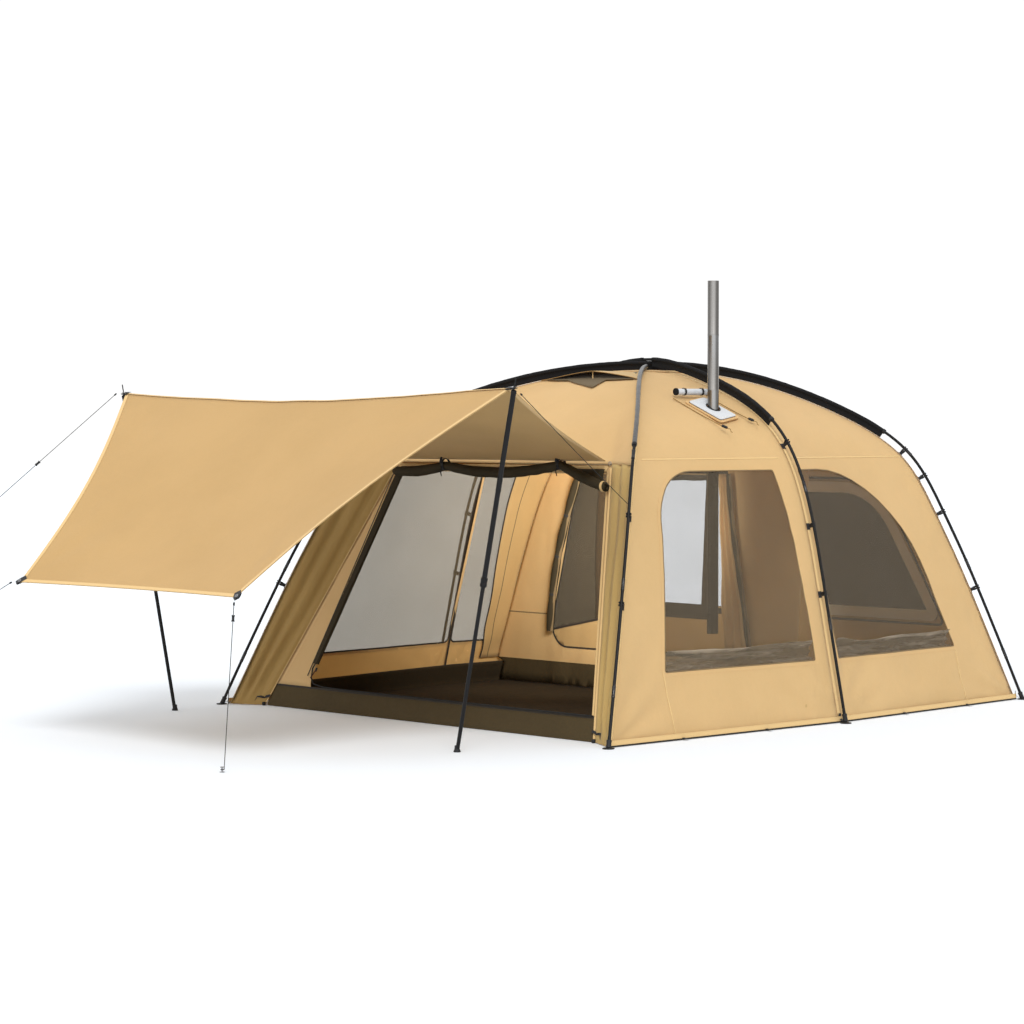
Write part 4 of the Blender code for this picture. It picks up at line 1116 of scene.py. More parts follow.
def make_light():
    """A white studio with two suns, and one small lamp in the front room."""
    world = bpy.data.worlds.new("studio")
    world.use_nodes = True
    tree = world.node_tree
    tree.nodes.clear()
    seen = fill(node(tree, "ShaderNodeBackground"), Color=(1, 1, 1, 1), Strength=1.05)
    lit = fill(node(tree, "ShaderNodeBackground"), Color=(1.0, 0.995, 0.99, 1), Strength=0.86)
    path = node(tree, "ShaderNodeLightPath")
    mix_shaders(tree, path.outputs["Is Camera Ray"], lit, seen, node(tree, "ShaderNodeOutputWorld"))
    bpy.context.scene.world = world
    suns = (("key", (-0.55, 0.45, -0.72), 1.75, 24), ("fill", (0.30, 0.80, -0.52), 0.55, 60))
    for name, direction, strength, spread in suns:
        data = bpy.data.lights.new(name, "SUN")
        data.energy = strength
        data.angle = math.radians(spread)
        lamp = bpy.data.objects.new(name, data)
        lamp.rotation_euler = Vector(direction).to_track_quat("-Z", "Y").to_euler()
        bpy.context.scene.collection.objects.link(lamp)
    data = bpy.data.lights.new("room", "AREA")
    data.energy = 25.0
    data.size = 0.6
    data.spread = math.radians(115)
    data.color = (1.0, 0.96, 0.90)
    lamp = bpy.data.objects.new("room", data)
    lamp.location = (0.35, -0.45, 1.20)
    lamp.rotation_euler = Vector((-1.15, 0.95, -0.10)).to_track_quat("-Z", "Y").to_euler()
    lamp.visible_camera = False
    lamp.visible_transmission = False
    bpy.context.scene.collection.objects.link(lamp)


# Cords, pegs and runners


def guy_lines():
    far_tip = TIP * (-1, 1, 1)
    far_low = AWNING_LOW * (-1, 1, 1)
    at_peg = []
    for top, peg in ((far_tip, PEG_FAR_RIDGE), (far_low, PEG_FAR_CORNER), (AWNING_LOW, PEG_NEAR_CORNER)):
        level = unit(np.array((top[0] - peg[0], top[1] - peg[1], 0)))
        at_peg.append(peg + level * (PEG_R * 2.6 + CORD_R + 0.002) + UP * 0.012)
    tie_t = 0.52
    return {
        "guy_far_ridge": (far_tip + (-0.03, -0.03, 0.0), at_peg[0], 0.0),
        "guy_far_corner": (far_low + (-0.03, -0.02, 0.0), at_peg[1], 0.0),
        "guy_near_corner": (AWNING_LOW + (0.004, -0.02, -0.02), at_peg[2], 0.0),
        "tie_near": (TIP + (-0.006, 0.05, -0.03), leg(1, -1, tie_t)[0] + (0.0, -0.016, 0.0), 0.006),
        "tie_far": (far_tip + (0.006, 0.05, -0.03), leg(-1, -1, tie_t)[0] + (0.0, -0.016, 0.0), 0.006),
    }


def make_cords():
    """The guys with their pegs and runners, and the two ties between the awning and the tent."""
    runners = {
        "guy_near_corner": (0.10, PEG_NEAR_CORNER, "runner_near"),
        "guy_far_corner": (0.20, PEG_FAR_CORNER, "runner_far_corner"),
        "guy_far_ridge": (0.22, PEG_FAR_RIDGE, "runner_far_ridge"),
    }
    for name, (start, finish, sag) in guy_lines().items():
        shares = spaced(0, 1, 24)[:, None]
        points = start + (finish - start) * shares - UP * sag * 4 * shares * (1 - shares)
        line = tube(name + "_cord", points, CORD_R, CORD, 3)
        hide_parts(name)
        way = unit(finish - start)
        knot = lathe(
            name + "_top_knot",
            [
                (0, -0.009), (0.0042, -0.007), (0.0055, -0.002), (0.0042, 0.001), (0.0056, 0.004),
                (0.0035, 0.009), (0, 0.011),
            ],
            frame_matrix(start + way * 0.012, way), CORD, 14,
        )
        with_pieces = [knot]
        if name in runners:
            share, peg_spot, body = runners[name]
            peg = make_peg(name.replace("guy_", "peg_"), peg_spot)
            level = unit(np.array((start[0] - finish[0], start[1] - finish[1], 0)))
            loop_centre = peg_spot + UP * 0.014 + level * 0.002
            ring = circle(loop_centre, np.array((0.0085, 0, 0)), np.array((0, 0.0085, 0)), 20, True)
            loop = tube(name + "_peg_loop", ring, CORD_R * 0.9, CORD, 2)
            runner = make_runner("runner_" + name[4:], start + (finish - start) * share, way, body)
            with_pieces += [peg, loop, runner]


def make_peg(name, spot):
    profile = [
        (0, -0.0), (PEG_R * 2.5, 0.0), (PEG_R * 2.55, 0.0015), (PEG_R * 2.4, 0.0035),
        (PEG_R * 1.05, 0.0045), (PEG_R * 0.85, 0.010),
        (PEG_R * 0.85, 0.020), (PEG_R * 1.1, 0.0235), (PEG_R * 2.05, 0.0250), (PEG_R * 2.15, 0.0270),
        (PEG_R * 1.7, 0.0292), (0, PEG_HEIGHT),
    ]
    peg = lathe(name + "_detail", profile, frame_matrix(spot, UP), PEG_STEEL, 24)
    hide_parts(name)
    return peg


def make_runner(name, spot, way, body):
    """A tensioner: a barrel with a waist between two ribs, and a hole for its cord."""
    half = RUNNER_LENGTH / 2
    outer = [
        (0.0056, -half), (0.0084, -half), (0.0090, -half + 0.0015), (0.0090, -half + 0.005),
        (0.0072, -half + 0.0075),
        (0.0070, 0.0), (0.0072, half - 0.0075), (0.0090, half - 0.005), (0.0090, half - 0.0015),
        (0.0084, half), (0.0056, half),
    ]
    section = outer + [(0.0056, half * 0.5), (0.0056, -half * 0.5)]
    bm = bmesh.new()
    x_axis, y_axis = np.array((1.0, 0, 0)), np.array((0, 1.0, 0))
    rings = [
        [bm.verts.new(point) for point in circle(UP * height, x_axis * radius, y_axis * radius, 20)]
        for radius, height in section
    ]
    bridge(bm, rings + rings[:1], True)
    bmesh.ops.recalc_face_normals(bm, faces=bm.faces)
    bmesh.ops.transform(bm, matrix=frame_matrix(spot, way), verts=bm.verts)
    piece = from_bmesh(name + "_detail", bm, PLASTIC, body)
    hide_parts(name)
    return piece


# Poles, sleeves, feet and clips


def make_poles():
    pairs = (
        ("pole_front_right_to_rear_left", (1, -1), (-1, 1), -CROSS_STEP),
        ("pole_front_left_to_rear_right", (-1, -1), (1, 1), 0.0),
        ("pole_middle_hoop", (1, 0), (-1, 0), CROSS_STEP),
    )
    for name, first, last, lift in pairs:
        shares = np.concatenate((spaced(0.004, 0.1, 8), spaced(0.11, 1, 90)))
        near = leg(*first, shares) + UP * (lift * crossing_ease(shares))[:, None]
        far = leg(*last, shares) + UP * (lift * crossing_ease(shares))[:, None]
        points = np.concatenate((near, far[::-1][1:]))
        points[0, 2] = points[-1, 2] = PLATE_H + 0.001
        piece = tube(name + "_tube", points, POLE_R * 0.98, POLE, 5)
        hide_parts(name)
        for which in (first, last):
            for t in (0.165, 0.385, 0.60):
                make_ferrule(which, t)


def make_ferrule(which, t):
    """The joint of two pole sections: a sleeve with a ring at each end."""
    centre = leg(*which, t)[0]
    along = leg_frame(*which, t)[0][0]
    profile = [
        (POLE_R * 0.99, -0.034), (POLE_R * 1.16, -0.033), (POLE_R * 1.18, -0.028), (POLE_R * 1.10, -0.026),
        (POLE_R * 1.10, 0.026), (POLE_R * 1.18, 0.028), (POLE_R * 1.16, 0.033), (POLE_R * 0.99, 0.034),
    ]
    tag = SIDE_WORD[which[0]] + "_" + END_WORD[which[1]] + "_" + str(round(t * 1000))
    lathe("pole_joint_" + tag, profile, frame_matrix(centre, along), JOINT, 20)


def sleeve_section(fin, wall, waist):
    """Cross-section of a sleeve: most of a circle, and a thin web as far as fin."""
    outer_r = POLE_R + wall
    ring = []
    for i in range(17):
        angle = math.radians(-60 + 300 * i / 16)
        ring.append((outer_r * math.cos(angle), -outer_r * math.sin(angle)))
    neck = max(fin * 0.5, outer_r * 0.95)
    middle = (neck + fin) / 2
    return ring + [
        (-0.0035, neck), (-waist, middle), (-0.003, fin), (0.003, fin), (waist, middle), (0.0035, neck),
    ]


def make_sleeve(side, end):
    """Cloth channel sewn over a pole, with its web down to the roof."""
    name = "sleeve_" + END_WORD[end] + "_" + SIDE_WORD[side]
    lift = leg_lift(side, end)
    grey = (side, end) == (1, -1)
    shares = spaced(SLEEVE_FROM[end], SLEEVE_TO[side, end], 70)
    along, towards = leg_frame(side, end, shares)
    centres = leg(side, end, shares) + UP * (lift * crossing_ease(shares))[:, None]
    bm = bmesh.new()
    rings = []
    for i, t in enumerate(shares):
        rise = lift * float(crossing_ease(t))
        reach = STAND_OFF - 0.002 + min(rise, 0.0)
        pucker = float(rough(i * 0.9, 3.0, 5 + side * 3 + end))
        wall = 0.0042 + 0.0008 * pucker
        if i in (0, len(shares) - 1):
            wall = 0.0032
        section = sleeve_section(reach if not grey else POLE_R + 0.012, wall, 0.003 + 0.0006 * pucker)
        across = np.cross(along[i], towards[i])
        rings.append([bm.verts.new(centres[i] + across * a + towards[i] * b) for a, b in section])
    bridge(bm, rings, True)
    for ring in (rings[0], rings[-1]):
        bm.faces.new(ring)
    bmesh.ops.recalc_face_normals(bm, faces=bm.faces)
    piece = from_bmesh(name + "_cloth", bm, GREY_POLE if grey else SLEEVE_CLOTH, angle=60)
    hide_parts(name)
    lathe(
        name + "_end",
        [
            (POLE_R, -0.010), (POLE_R + 0.005, -0.009), (POLE_R + 0.0062, -0.004),
            (POLE_R + 0.0062, 0.010), (POLE_R + 0.004, 0.012),
        ],
        frame_matrix(centres[0], along[0]), PLASTIC, 20,
    )


def make_foot(side, end):
    """A ribbed ground plate with a leaning socket and the strap to the cloth's corner."""
    name = "foot_" + END_WORD[end] + "_" + SIDE_WORD[side]
    foot = foot_point(side, end)
    start = leg(side, end, 0.004)[0]
    along = unit(leg(side, end, 0.05)[0] - start)
    plate = lathe(
        name + "_plate",
        [
            (0, 0.0), (PLATE_R * 0.96, 0.0), (PLATE_R, 0.0012), (PLATE_R, 0.0035),
            (PLATE_R * 0.93, 0.0052), (PLATE_R * 0.62, 0.0060), (PLATE_R * 0.58, 0.0075), (0, 0.0075),
        ],
        frame_matrix(foot, UP), PLASTIC, 36,
    )
    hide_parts(name)
    lathe(
        name + "_socket",
        [
            (0, 0.0), (POLE_R + 0.0055, 0.0), (POLE_R + 0.0052, 0.010), (POLE_R + 0.0042, 0.030),
            (POLE_R + 0.0056, 0.036), (POLE_R + 0.0056, 0.043), (POLE_R + 0.0042, 0.045),
            (POLE_R * 0.98, 0.045),
        ],
        frame_matrix(start - along * 0.002, along), PLASTIC, 28,
    )
    inward = unit(np.array((-foot[0], CROSSING_Y - foot[1], 0)))
    corner = ridge(side, end, 0.004)[0]
    points = np.array(
        [
            foot + inward * 0.014 + UP * 0.010, foot + inward * 0.030 + UP * 0.012, corner + UP * 0.022,
            corner + UP * 0.05,
        ]
    )
    ribbon(name + "_strap", points, [UP - inward * 0.5] * 4, 0.020, BLACK_WEB)


def make_clip(side, end, t, label):
    """A moulded hook round the pole, and its tape and patch sewn to the seam."""
    along, towards = (x[0] for x in leg_frame(side, end, t))
    centre = leg(side, end, t)[0]
    edge = ridge(side, end, t)[0]
    across = np.cross(along, towards)
    name = "clip_" + word_of(side, end) + "_" + label
    ring_r = POLE_R + 0.0036
    for shift, tag in ((-0.008, "a"), (0.008, "b")):
        points = []
        for k in range(19):
            angle = math.radians(-150 + 300 * k / 18)
            points.append(
                centre + along * shift + ring_r * (
                    -towards * math.cos(math.pi - angle) + across * math.sin(angle)
                )
            )
        tube(name + "_hook_" + tag, points, 0.0040, PLASTIC, 3)
    shank = centre + towards * (POLE_R + 0.011)
    block(name + "_shank", (0.026, 0.010, 0.018), frame_matrix(shank, towards, along), PLASTIC, 0.0025)
    line = np.array(
        [centre + towards * (POLE_R + 0.010), centre + towards * (STAND_OFF * 0.7), edge - towards * 0.002]
    )
    ribbon(name + "_tape", line, [across] * 3, 0.022, BLACK_WEB, lift=-0.001, thickness=0.0022)
    patch = np.array([edge - along * 0.020, edge, edge + along * 0.020])
    ribbon(name + "_patch", patch, [-towards] * 3, 0.026, BLACK_WEB, 0.0030, 0.0016)


# Cloth panels

SURFACES = {}


def relief_side(points, u, v, seed, clips):
    """Soft unevenness of a stretched wall: broad bellies, small folds from the clips and a rippled foot."""
    flat = points.reshape(-1, 3)
    y, z = flat[:, 1], flat[:, 2]
    edge = np.clip(np.minimum(u, 1 - u) * 9, 0, 1)
    edge = edge * edge * (3 - 2 * edge)
    low = np.clip(z / 0.10, 0, 1)
    amount = layered(y * 1.5, z * 1.2, seed) * 0.008 * edge * low
    amount += layered(y * 7.0, z * 1.1 + 3, seed + 5, 2) * 0.0035 * edge * np.clip(1.1 - z, 0.15, 1)
    amount += layered((y + z) * 4.5, (y - z) * 1.3, seed + 9, 2) * 0.002 * edge
    for foot in (flat[0], flat[len(u) // len(np.unique(v)) - 1]):
        away = flat - foot
        reach = np.linalg.norm(away, axis=1)
        angle = np.arctan2(away[:, 2], np.abs(away[:, 1]) + 1e-6)
        strength = 0.014 * np.exp(-reach / 0.42) * np.clip(reach / 0.12, 0, 1)
        amount += strength * np.cos(angle * 15 + seed) * np.clip(np.minimum(u, 1 - u) * 22, 0, 1) * low
    for clip in clips:
        away = flat - clip
        reach = np.linalg.norm(away, axis=1)
        angle = np.arctan2(away[:, 2], np.abs(away[:, 1]) + 1e-6)
        amount += 0.005 * np.exp(-reach / 0.20) * np.cos(angle * 6 + seed) * np.clip(
            reach / 0.05, 0, 1,
        ) * edge
    return amount


def panel_points(place, u_values, v_values, outward, relief):
    points = grid(place, u_values, v_values)
    normals = grid_normals(points, outward)
    u, v = np.meshgrid(u_values, v_values)
    amount = relief(points, u.ravel(), v.ravel())
    return points + normals * amount.reshape(len(v_values), len(u_values), 1)


def frame_window(tag, tree, outline_of, axis, start, toward, seen_inside=False):
    """Binding round an opening, with a fine zip line, and the tape on the inner side where it is seen."""
    points, normals = on_surface(tree, denser(outline_of(-0.015)), axis, start, toward)
    ribbon(tag + "_binding", points, normals, 0.022, CANVAS, 0.0004, 0.0008, True)
    points, normals = on_surface(tree, denser(outline_of(0.0)), axis, start, toward)
    ribbon(
        tag + "_zip_tape", points, normals, 0.006, BROWN_TAPE, 0.0012, 0.0012, True, slot="black_webbing",
    )
    if seen_inside:
        ribbon(tag + "_inner_tape", points, -normals, 0.011, DARK_TAPE, 0.0030, 0.0012, True)


def make_side(side, end):
    word = word_of(side, end)
    pair = ((side, end), (side, 0)) if end < 0 else ((side, 0), (side, end))
    outward = (side, 0, 0)
    clips = [ridge(side, end, t)[0] for t in CLIPS[end]] + [ridge(side, 0, t)[0] for t in CLIPS[0]]
    seed = 20 + side * 3 + end * 7

    def place(u, v):
        return sector(outward, pair, u, v)

    def relief(points, u, v):
        return relief_side(points, u, v, seed, clips)

    u_values, v_values = spaced(0, 1, 46), spaced(0, PANEL_TOP + 0.02, 86)
    points = panel_points(place, u_values, v_values, outward, relief)
    bm = grid_bmesh(points, outward)
    tree = BVHTree.FromBMesh(bm)
    SURFACES["side_" + word] = tree
    inside = cut_inside(bm, side_window(side, end, 0.0), 0)
    net = piece_of(inside)
    bmesh.ops.delete(bm, geom=inside, context="FACES")
    name = "side_" + word
    if side > 0 and end < 0:
        ring = circle(np.array(PIPE_XY), np.array((PIPE_HOLE_R, 0)), np.array((0, PIPE_HOLE_R)), 32)
        hole = cut_inside(bm, ring, 2)
        bmesh.ops.delete(bm, geom=hole, context="FACES")
    piece = cloth_from(name + "_cloth", bm, CANVAS, slot="sand_canvas", inside=CANVAS_PAINTED_SHADE)
    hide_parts(name)
    mat = NET if side > 0 else DARK_NET
    mesh_net = cloth_from("net_" + word, net, mat, 0.0012, slot="brown_net", push=-0.003)
    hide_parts("window_net_" + word)
    frame_window(
        "window_" + word, tree, lambda inset: side_window(side, end, inset), 0, OUTSIDE * side, -side,
        side < 0,
    )


def make_gather(end):
    """The spare part of a near window's net, let down and bunched along the sill in long drooping folds."""
    tag, seed, height = "right_" + END_WORD[end], 11 + end, 0.105
    low = WINDOW_LOW_Z[1] + 0.004
    line = denser(
        [(end * (WINDOW_BACK + 0.01), low), (end * (WINDOW_LOW_END - 0.03), low)], 0.008, closed=False,
    )
    points, normals = on_surface(SURFACES["side_" + tag], line, 0, OUTSIDE, -1)
    count = len(points)
    s = np.arange(count)
    tall = np.full(count, height) * (1 + 0.22 * rough(s * 0.025, 1.0, seed))
    rows = 22
    made = np.zeros((rows, count, 3))
    for i in range(rows):
        share = i / (rows - 1)
        bulge = math.sin(math.pi * share) * 0.034 + 0.010
        droop = rough(s * 0.045, 2.0, seed + 1) * 1.6 + rough(s * 0.11, 7.0, seed + 2) * 0.6
        fold = 0.0125 * np.sin(
            2 * np.pi * (share * 2.4 + droop * 0.5)
        ) * math.sin(math.pi * min(1.0, share + 0.15))
        fine = rough(s * 0.30 + share * 6.0, share * 9.0 + seed, seed) * 0.0035
        lift = tall * share
        made[i] = points - normals * (bulge + fold + fine)[:, None] + UP * (lift - 0.004)[:, None]
    bm = grid_bmesh(made, normals.mean(0))
    cloth_from("window_gather_" + tag, bm, BUNCHED_NET, 0.0012)


def make_rear():
    ends = ((-1, 1), (1, 1))

    def place(u, v):
        return sector((0, 1, 0), ends, u, v)

    def relief(points, u, v):
        flat = points.reshape(-1, 3)
        edge = np.clip(np.minimum(u, 1 - u) * 9, 0, 1)
        return layered(
            flat[:, 0] * 1.4, flat[:, 2] * 1.3, 77,
        ) * 0.008 * edge * np.clip(flat[:, 2] / 0.1, 0, 1)

    points = panel_points(place, spaced(0, 1, 56), spaced(0, PANEL_TOP + 0.02, 70), (0, 1, 0), relief)
    bm = grid_bmesh(points, (0, 1, 0))
    tree = BVHTree.FromBMesh(bm)
    for side in (-1, 1):
        inside = cut_inside(bm, rear_window(side, 0.0), 1)
        net = piece_of(inside)
        bmesh.ops.delete(bm, geom=inside, context="FACES")
        name = "window_net_rear_" + SIDE_WORD[side]
        mat = CLEAR_NET if side < 0 else NET
        piece = cloth_from("net_rear_" + SIDE_WORD[side], net, mat, 0.0012, slot="brown_net", push=-0.003)
        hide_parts(name)
        tag = "window_rear_" + SIDE_WORD[side]
        frame_window(tag, tree, lambda inset: rear_window(side, inset), 1, OUTSIDE, -1)
        outline = denser(rear_window(side, -0.03), 0.04)
        inner_points, inner_normals = on_surface(tree, outline, 1, REAR_ROOM_Y, 1)
        ribbon(
            tag + "_frame", inner_points, inner_normals, 0.045 if side < 0 else 0.016, DARK_TAPE, 0.003,
            0.0012, True,
        )
    outline = denser(rear_window(1, 0.03), 0.04)
    points, normals = on_surface(tree, outline, 1, REAR_ROOM_Y, 1)
    ribbon("window_rear_right_hem", points, normals, 0.075, PALE_TAPE, 0.006, 0.0012, True)
    bar = [(-0.840 + 0.347 * k / 24, 0.46 + 0.98 * k / 24) for k in range(25)]
    points, normals = on_surface(tree, bar, 1, REAR_ROOM_Y, 1)
    ribbon("window_rear_left_bar", points, normals, 0.098, DARK_TAPE, 0.006, 0.0014)
    sill = [(-1.36 + 0.57 * k / 12, 0.455) for k in range(13)]
    points, normals = on_surface(tree, sill, 1, REAR_ROOM_Y, 1)
    ribbon("window_rear_left_sill", points, normals, 0.115, DARK_TAPE, 0.005, 0.0014)
    piece = cloth_from("rear_wall_cloth", bm, CANVAS, slot="sand_canvas", inside=CANVAS_PAINTED_SHADE)
    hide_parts("rear_wall")


def make_flange():
    """The strip of cloth on the left wall that the inner wall is zipped to."""
    tree = SURFACES["side_left_rear"]
    heights = np.linspace(0.165, 1.52, 40)
    starts = []
    for height in heights:
        for share in np.linspace(0, 1, 9):
            starts.append((0.31 + (float(partition_y(height)) + 0.012 - 0.31) * share, height))
    points, normals = on_surface(tree, starts, 0, -OUTSIDE, 1)
    wave = layered(points[:, 1] * 14, points[:, 2] * 1.3, 15, 2) * 0.004
    grid_points = (points - normals * (0.016 + wave)[:, None]).reshape(40, 9, 3)
    cloth_from("left_wall_flange", grid_bmesh(grid_points, (1, 0, 0)), CANVAS_PAINTED_SHADE, offset=1.0)
    ribbon("left_wall_flange_hem", grid_points[:, 0], [(1, 0, 0)] * 40, 0.012, DARK_TAPE, 0.002, 0.0012)
    ribbon(
        "left_wall_flange_seam", grid_points[:, 3], [(1, 0, 0)] * 40, 0.006, BROWN_TAPE, 0.0022, 0.0010,
        slot="black_webbing",
    )


def make_front():
    top = EAVE_Z - 0.003

    def wall(u, v):
        height = TUB_HEIGHT + 0.002 + (top - TUB_HEIGHT - 0.002) * v
        a, b = wall_edge(-1, height), wall_edge(1, height)
        return a + (b - a) * u[:, None]

    def wall_relief(points, u, v):
        flat = points.reshape(-1, 3)
        edge = np.clip(np.minimum(u, 1 - u) * 12, 0, 1)
        return layered(flat[:, 0] * 6, flat[:, 2] * 1.6, 31) * 0.0035 * edge

    front = (0, -1, 0)
    points = panel_points(wall, spaced(0, 1, 70), spaced(0, 1, 40), front, wall_relief)
    bm = grid_bmesh(points, front)
    corners = [
        (1.390, TUB_HEIGHT - 0.05), (0.928, DOOR_TOP_Z), (-DOOR_TOP_X, DOOR_TOP_Z),
        (-1.118, TUB_HEIGHT - 0.05),
    ]
    outline = rounded(corners, (0.002, 0.03, DOOR_CORNER * 0.5, 0.13), 8)
    inside = cut_inside(bm, outline, 1)
    bmesh.ops.delete(bm, geom=inside, context="FACES")
    piece = cloth_from("front_wall_cloth", bm, CANVAS, slot="sand_canvas", inside=CANVAS_PAINTED_SHADE)
    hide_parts("front_wall")
    for side in (-1, 1):

        def wing(u, v):
            corner = ridge(side, -1, v)
            inner = wall_edge(side, corner[:, 2])
            return corner + (inner - corner) * u[:, None]

        def wing_relief(points, u, v):
            flat = points.reshape(-1, 3)
            edge = np.clip(np.minimum(u, 1 - u) * 6, 0, 1)
            folds = np.sin(2 * np.pi * (u * 2.3 + 0.35 * rough(flat[:, 2] * 1.3, u * 1.5, 45 + side)))
            folds = folds * 0.011 * (1.1 - 0.5 * flat[:, 2] / EAVE_Z)
            return (
                folds + layered(u * 5, flat[:, 2] * 1.2, 41 + side) * 0.006
            ) * edge * np.clip(flat[:, 2] / 0.15, 0.1, 1)

        points = panel_points(wing, spaced(0, 1, 34), spaced(0, EAVE_SHARE, 70), front, wing_relief)
        cloth_name = "wing_" + SIDE_WORD[side] + "_cloth"
        # Each wing gets the canvas painted darker: painted shade.
        piece = cloth_from(
            cloth_name, grid_bmesh(points, front), WING_PAINTED_SHADE[side], offset=1.0, slot="sand_canvas",
        )
        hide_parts("wing_" + SIDE_WORD[side])

    def roof_relief(points, u, v):
        flat = points.reshape(-1, 3)
        edge = np.clip(np.minimum(np.minimum(u, 1 - u) * 9, (v - EAVE_SHARE) * 12), 0, 1)
        return layered(flat[:, 0] * 1.6, flat[:, 1] * 1.8, 51) * 0.006 * edge

    points = panel_points(
        roof_point, spaced(0, 1, 84), spaced(EAVE_SHARE, PANEL_TOP + 0.02, 44), (0, -1, 1), roof_relief,
    )
    piece = cloth_from(
        "roof_front_cloth", grid_bmesh(points, (0, -1, 1)), CANVAS, slot="sand_canvas",
        inside=CANVAS_PAINTED_SHADE,
    )
    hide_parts("roof_front")


def make_crown():
    """The cap over the crossing, with its hem."""
    rings = np.linspace(0.918, 0.985, 8)
    bm = bmesh.new()
    loops = []
    for v in rings:
        loop = []
        for i, first in enumerate(LEGS):
            last = LEGS[(i + 1) % 6]
            a = ridge(*first, v, STAND_OFF - 0.0035)[0]
            b = ridge(*last, v, STAND_OFF - 0.0035)[0]
            for k in range(10):
                loop.append(bm.verts.new(a + (b - a) * k / 10))
        loops.append(loop)
    bridge(bm, loops, True)
    bm.faces.new(loops[-1])
    bm.normal_update()
    if sum((f.normal.z for f in bm.faces)) < 0:
        bmesh.ops.reverse_faces(bm, faces=bm.faces)
    hem = np.array([tuple(v.co) for v in loops[0]])
    piece = cloth_from("crown_cloth", bm, CANVAS, 0.0012, 1.0)
    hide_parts("crown_patch")
    ribbon("crown_hem", hem, [UP] * len(hem), 0.012, TAN_TAPE, 0.002, 0.001, True)


def make_seams():
    """Tapes over the seams where panels meet under the poles, and the felled seam round the shoulders."""
    for side, end in LEGS:
        shares = spaced(0.006, PANEL_TOP - 0.02, 90)
        points = ridge(side, end, shares)
        towards = leg_frame(side, end, shares)[1]
        tag = word_of(side, end)
        ribbon("ridge_seam_" + tag, points, -towards, 0.022, TAN_TAPE, 0.0016, 0.0016)
        inner_shares = spaced(0.03, PANEL_TOP - 0.04, 80)
        inner = ridge(side, end, inner_shares)
        inner_towards = leg_frame(side, end, inner_shares)[1]
        wide = 0.016 if (side, end) == (-1, 0) else 0.020
        ribbon("inner_seam_" + tag, inner, inner_towards, wide, DARK_TAPE, 0.008, 0.0012)
    for side in (-1, 1):
        for end in (-1, 1):
            word = word_of(side, end)
            tree = SURFACES["side_" + word]
            limit = 1.30 if end > 0 else 1.12
            outline = [(end * (0.02 + limit * k / 40), SHOULDER_SEAM_Z) for k in range(41)]
            points, normals = on_surface(tree, outline, 0, OUTSIDE * side, -side)
            ribbon("shoulder_seam_" + word, points, normals, 0.010, TAN_TAPE, 0.001, 0.001)
            y, top = (1.375 * end, 0.36) if end < 0 else (1.36, 0.33)
            outline = [(y, 0.02 + top * k / 16) for k in range(17)]
            points, normals = on_surface(tree, outline, 0, OUTSIDE * side, -side)
            ribbon("foot_seam_" + word, points, normals, 0.009, TAN_TAPE, 0.001, 0.001)
    height = np.linspace(0.02, EAVE_Z - 0.02, 60)
    for side in (-1, 1):
        points = wall_edge(side, height)
        normal = unit(np.array((side * 0.3, -1, 0.35)))
        ribbon("wall_seam_" + SIDE_WORD[side], points, [normal] * 60, 0.018, TAN_TAPE, 0.004, 0.0012)


def make_base():
    """Hem tape and the draw cord along the foot of the walls, with peg loops."""
    for side in (-1, 1):
        for end in (-1, 1):
            pair = ((side, end), (side, 0))
            tag = word_of(side, end)
            points = sector((side, 0, 0), pair, spaced(0, 1, 60), np.zeros(61))
            points[:, 2] = 0.006
            points[:, 0] += side * 0.004
            tube("base_cord_" + tag, points, 0.0042, CORD, 3)
            hem = points.copy()
            hem[:, 2] = 0.024
            hem[:, 0] -= side * 0.004
            normal = unit(np.array((side, 0, 0.12)))
            ribbon("base_hem_" + tag, hem, [normal] * 61, 0.028, TAN_TAPE, 0.0045, 0.0012)
            for share in (0.30, 0.66):
                spot = sector((side, 0, 0), pair, np.array([share]), np.array([0.0]))[0]
                make_peg_loop("base_loop_" + tag + "_" + str(round(share * 100)), spot, (side, 0, 0))
    points = sector((0, 1, 0), ((-1, 1), (1, 1)), spaced(0, 1, 60), np.zeros(61))
    points[:, 2] = 0.006
    tube("base_cord_rear", points, 0.0042, CORD, 3)


def make_peg_loop(name, spot, out):
    out = unit(np.asarray(out, float))
    places = ((0.008, 0.002), (0.006, 0.016), (0.004, 0.034), (0.004, 0.046))
    line = np.array([spot + UP * rise + out * away for rise, away in places])
    ribbon(name, line, [UP] * 4, 0.020, BLACK_WEB, 0.0, 0.0024)


# Awning


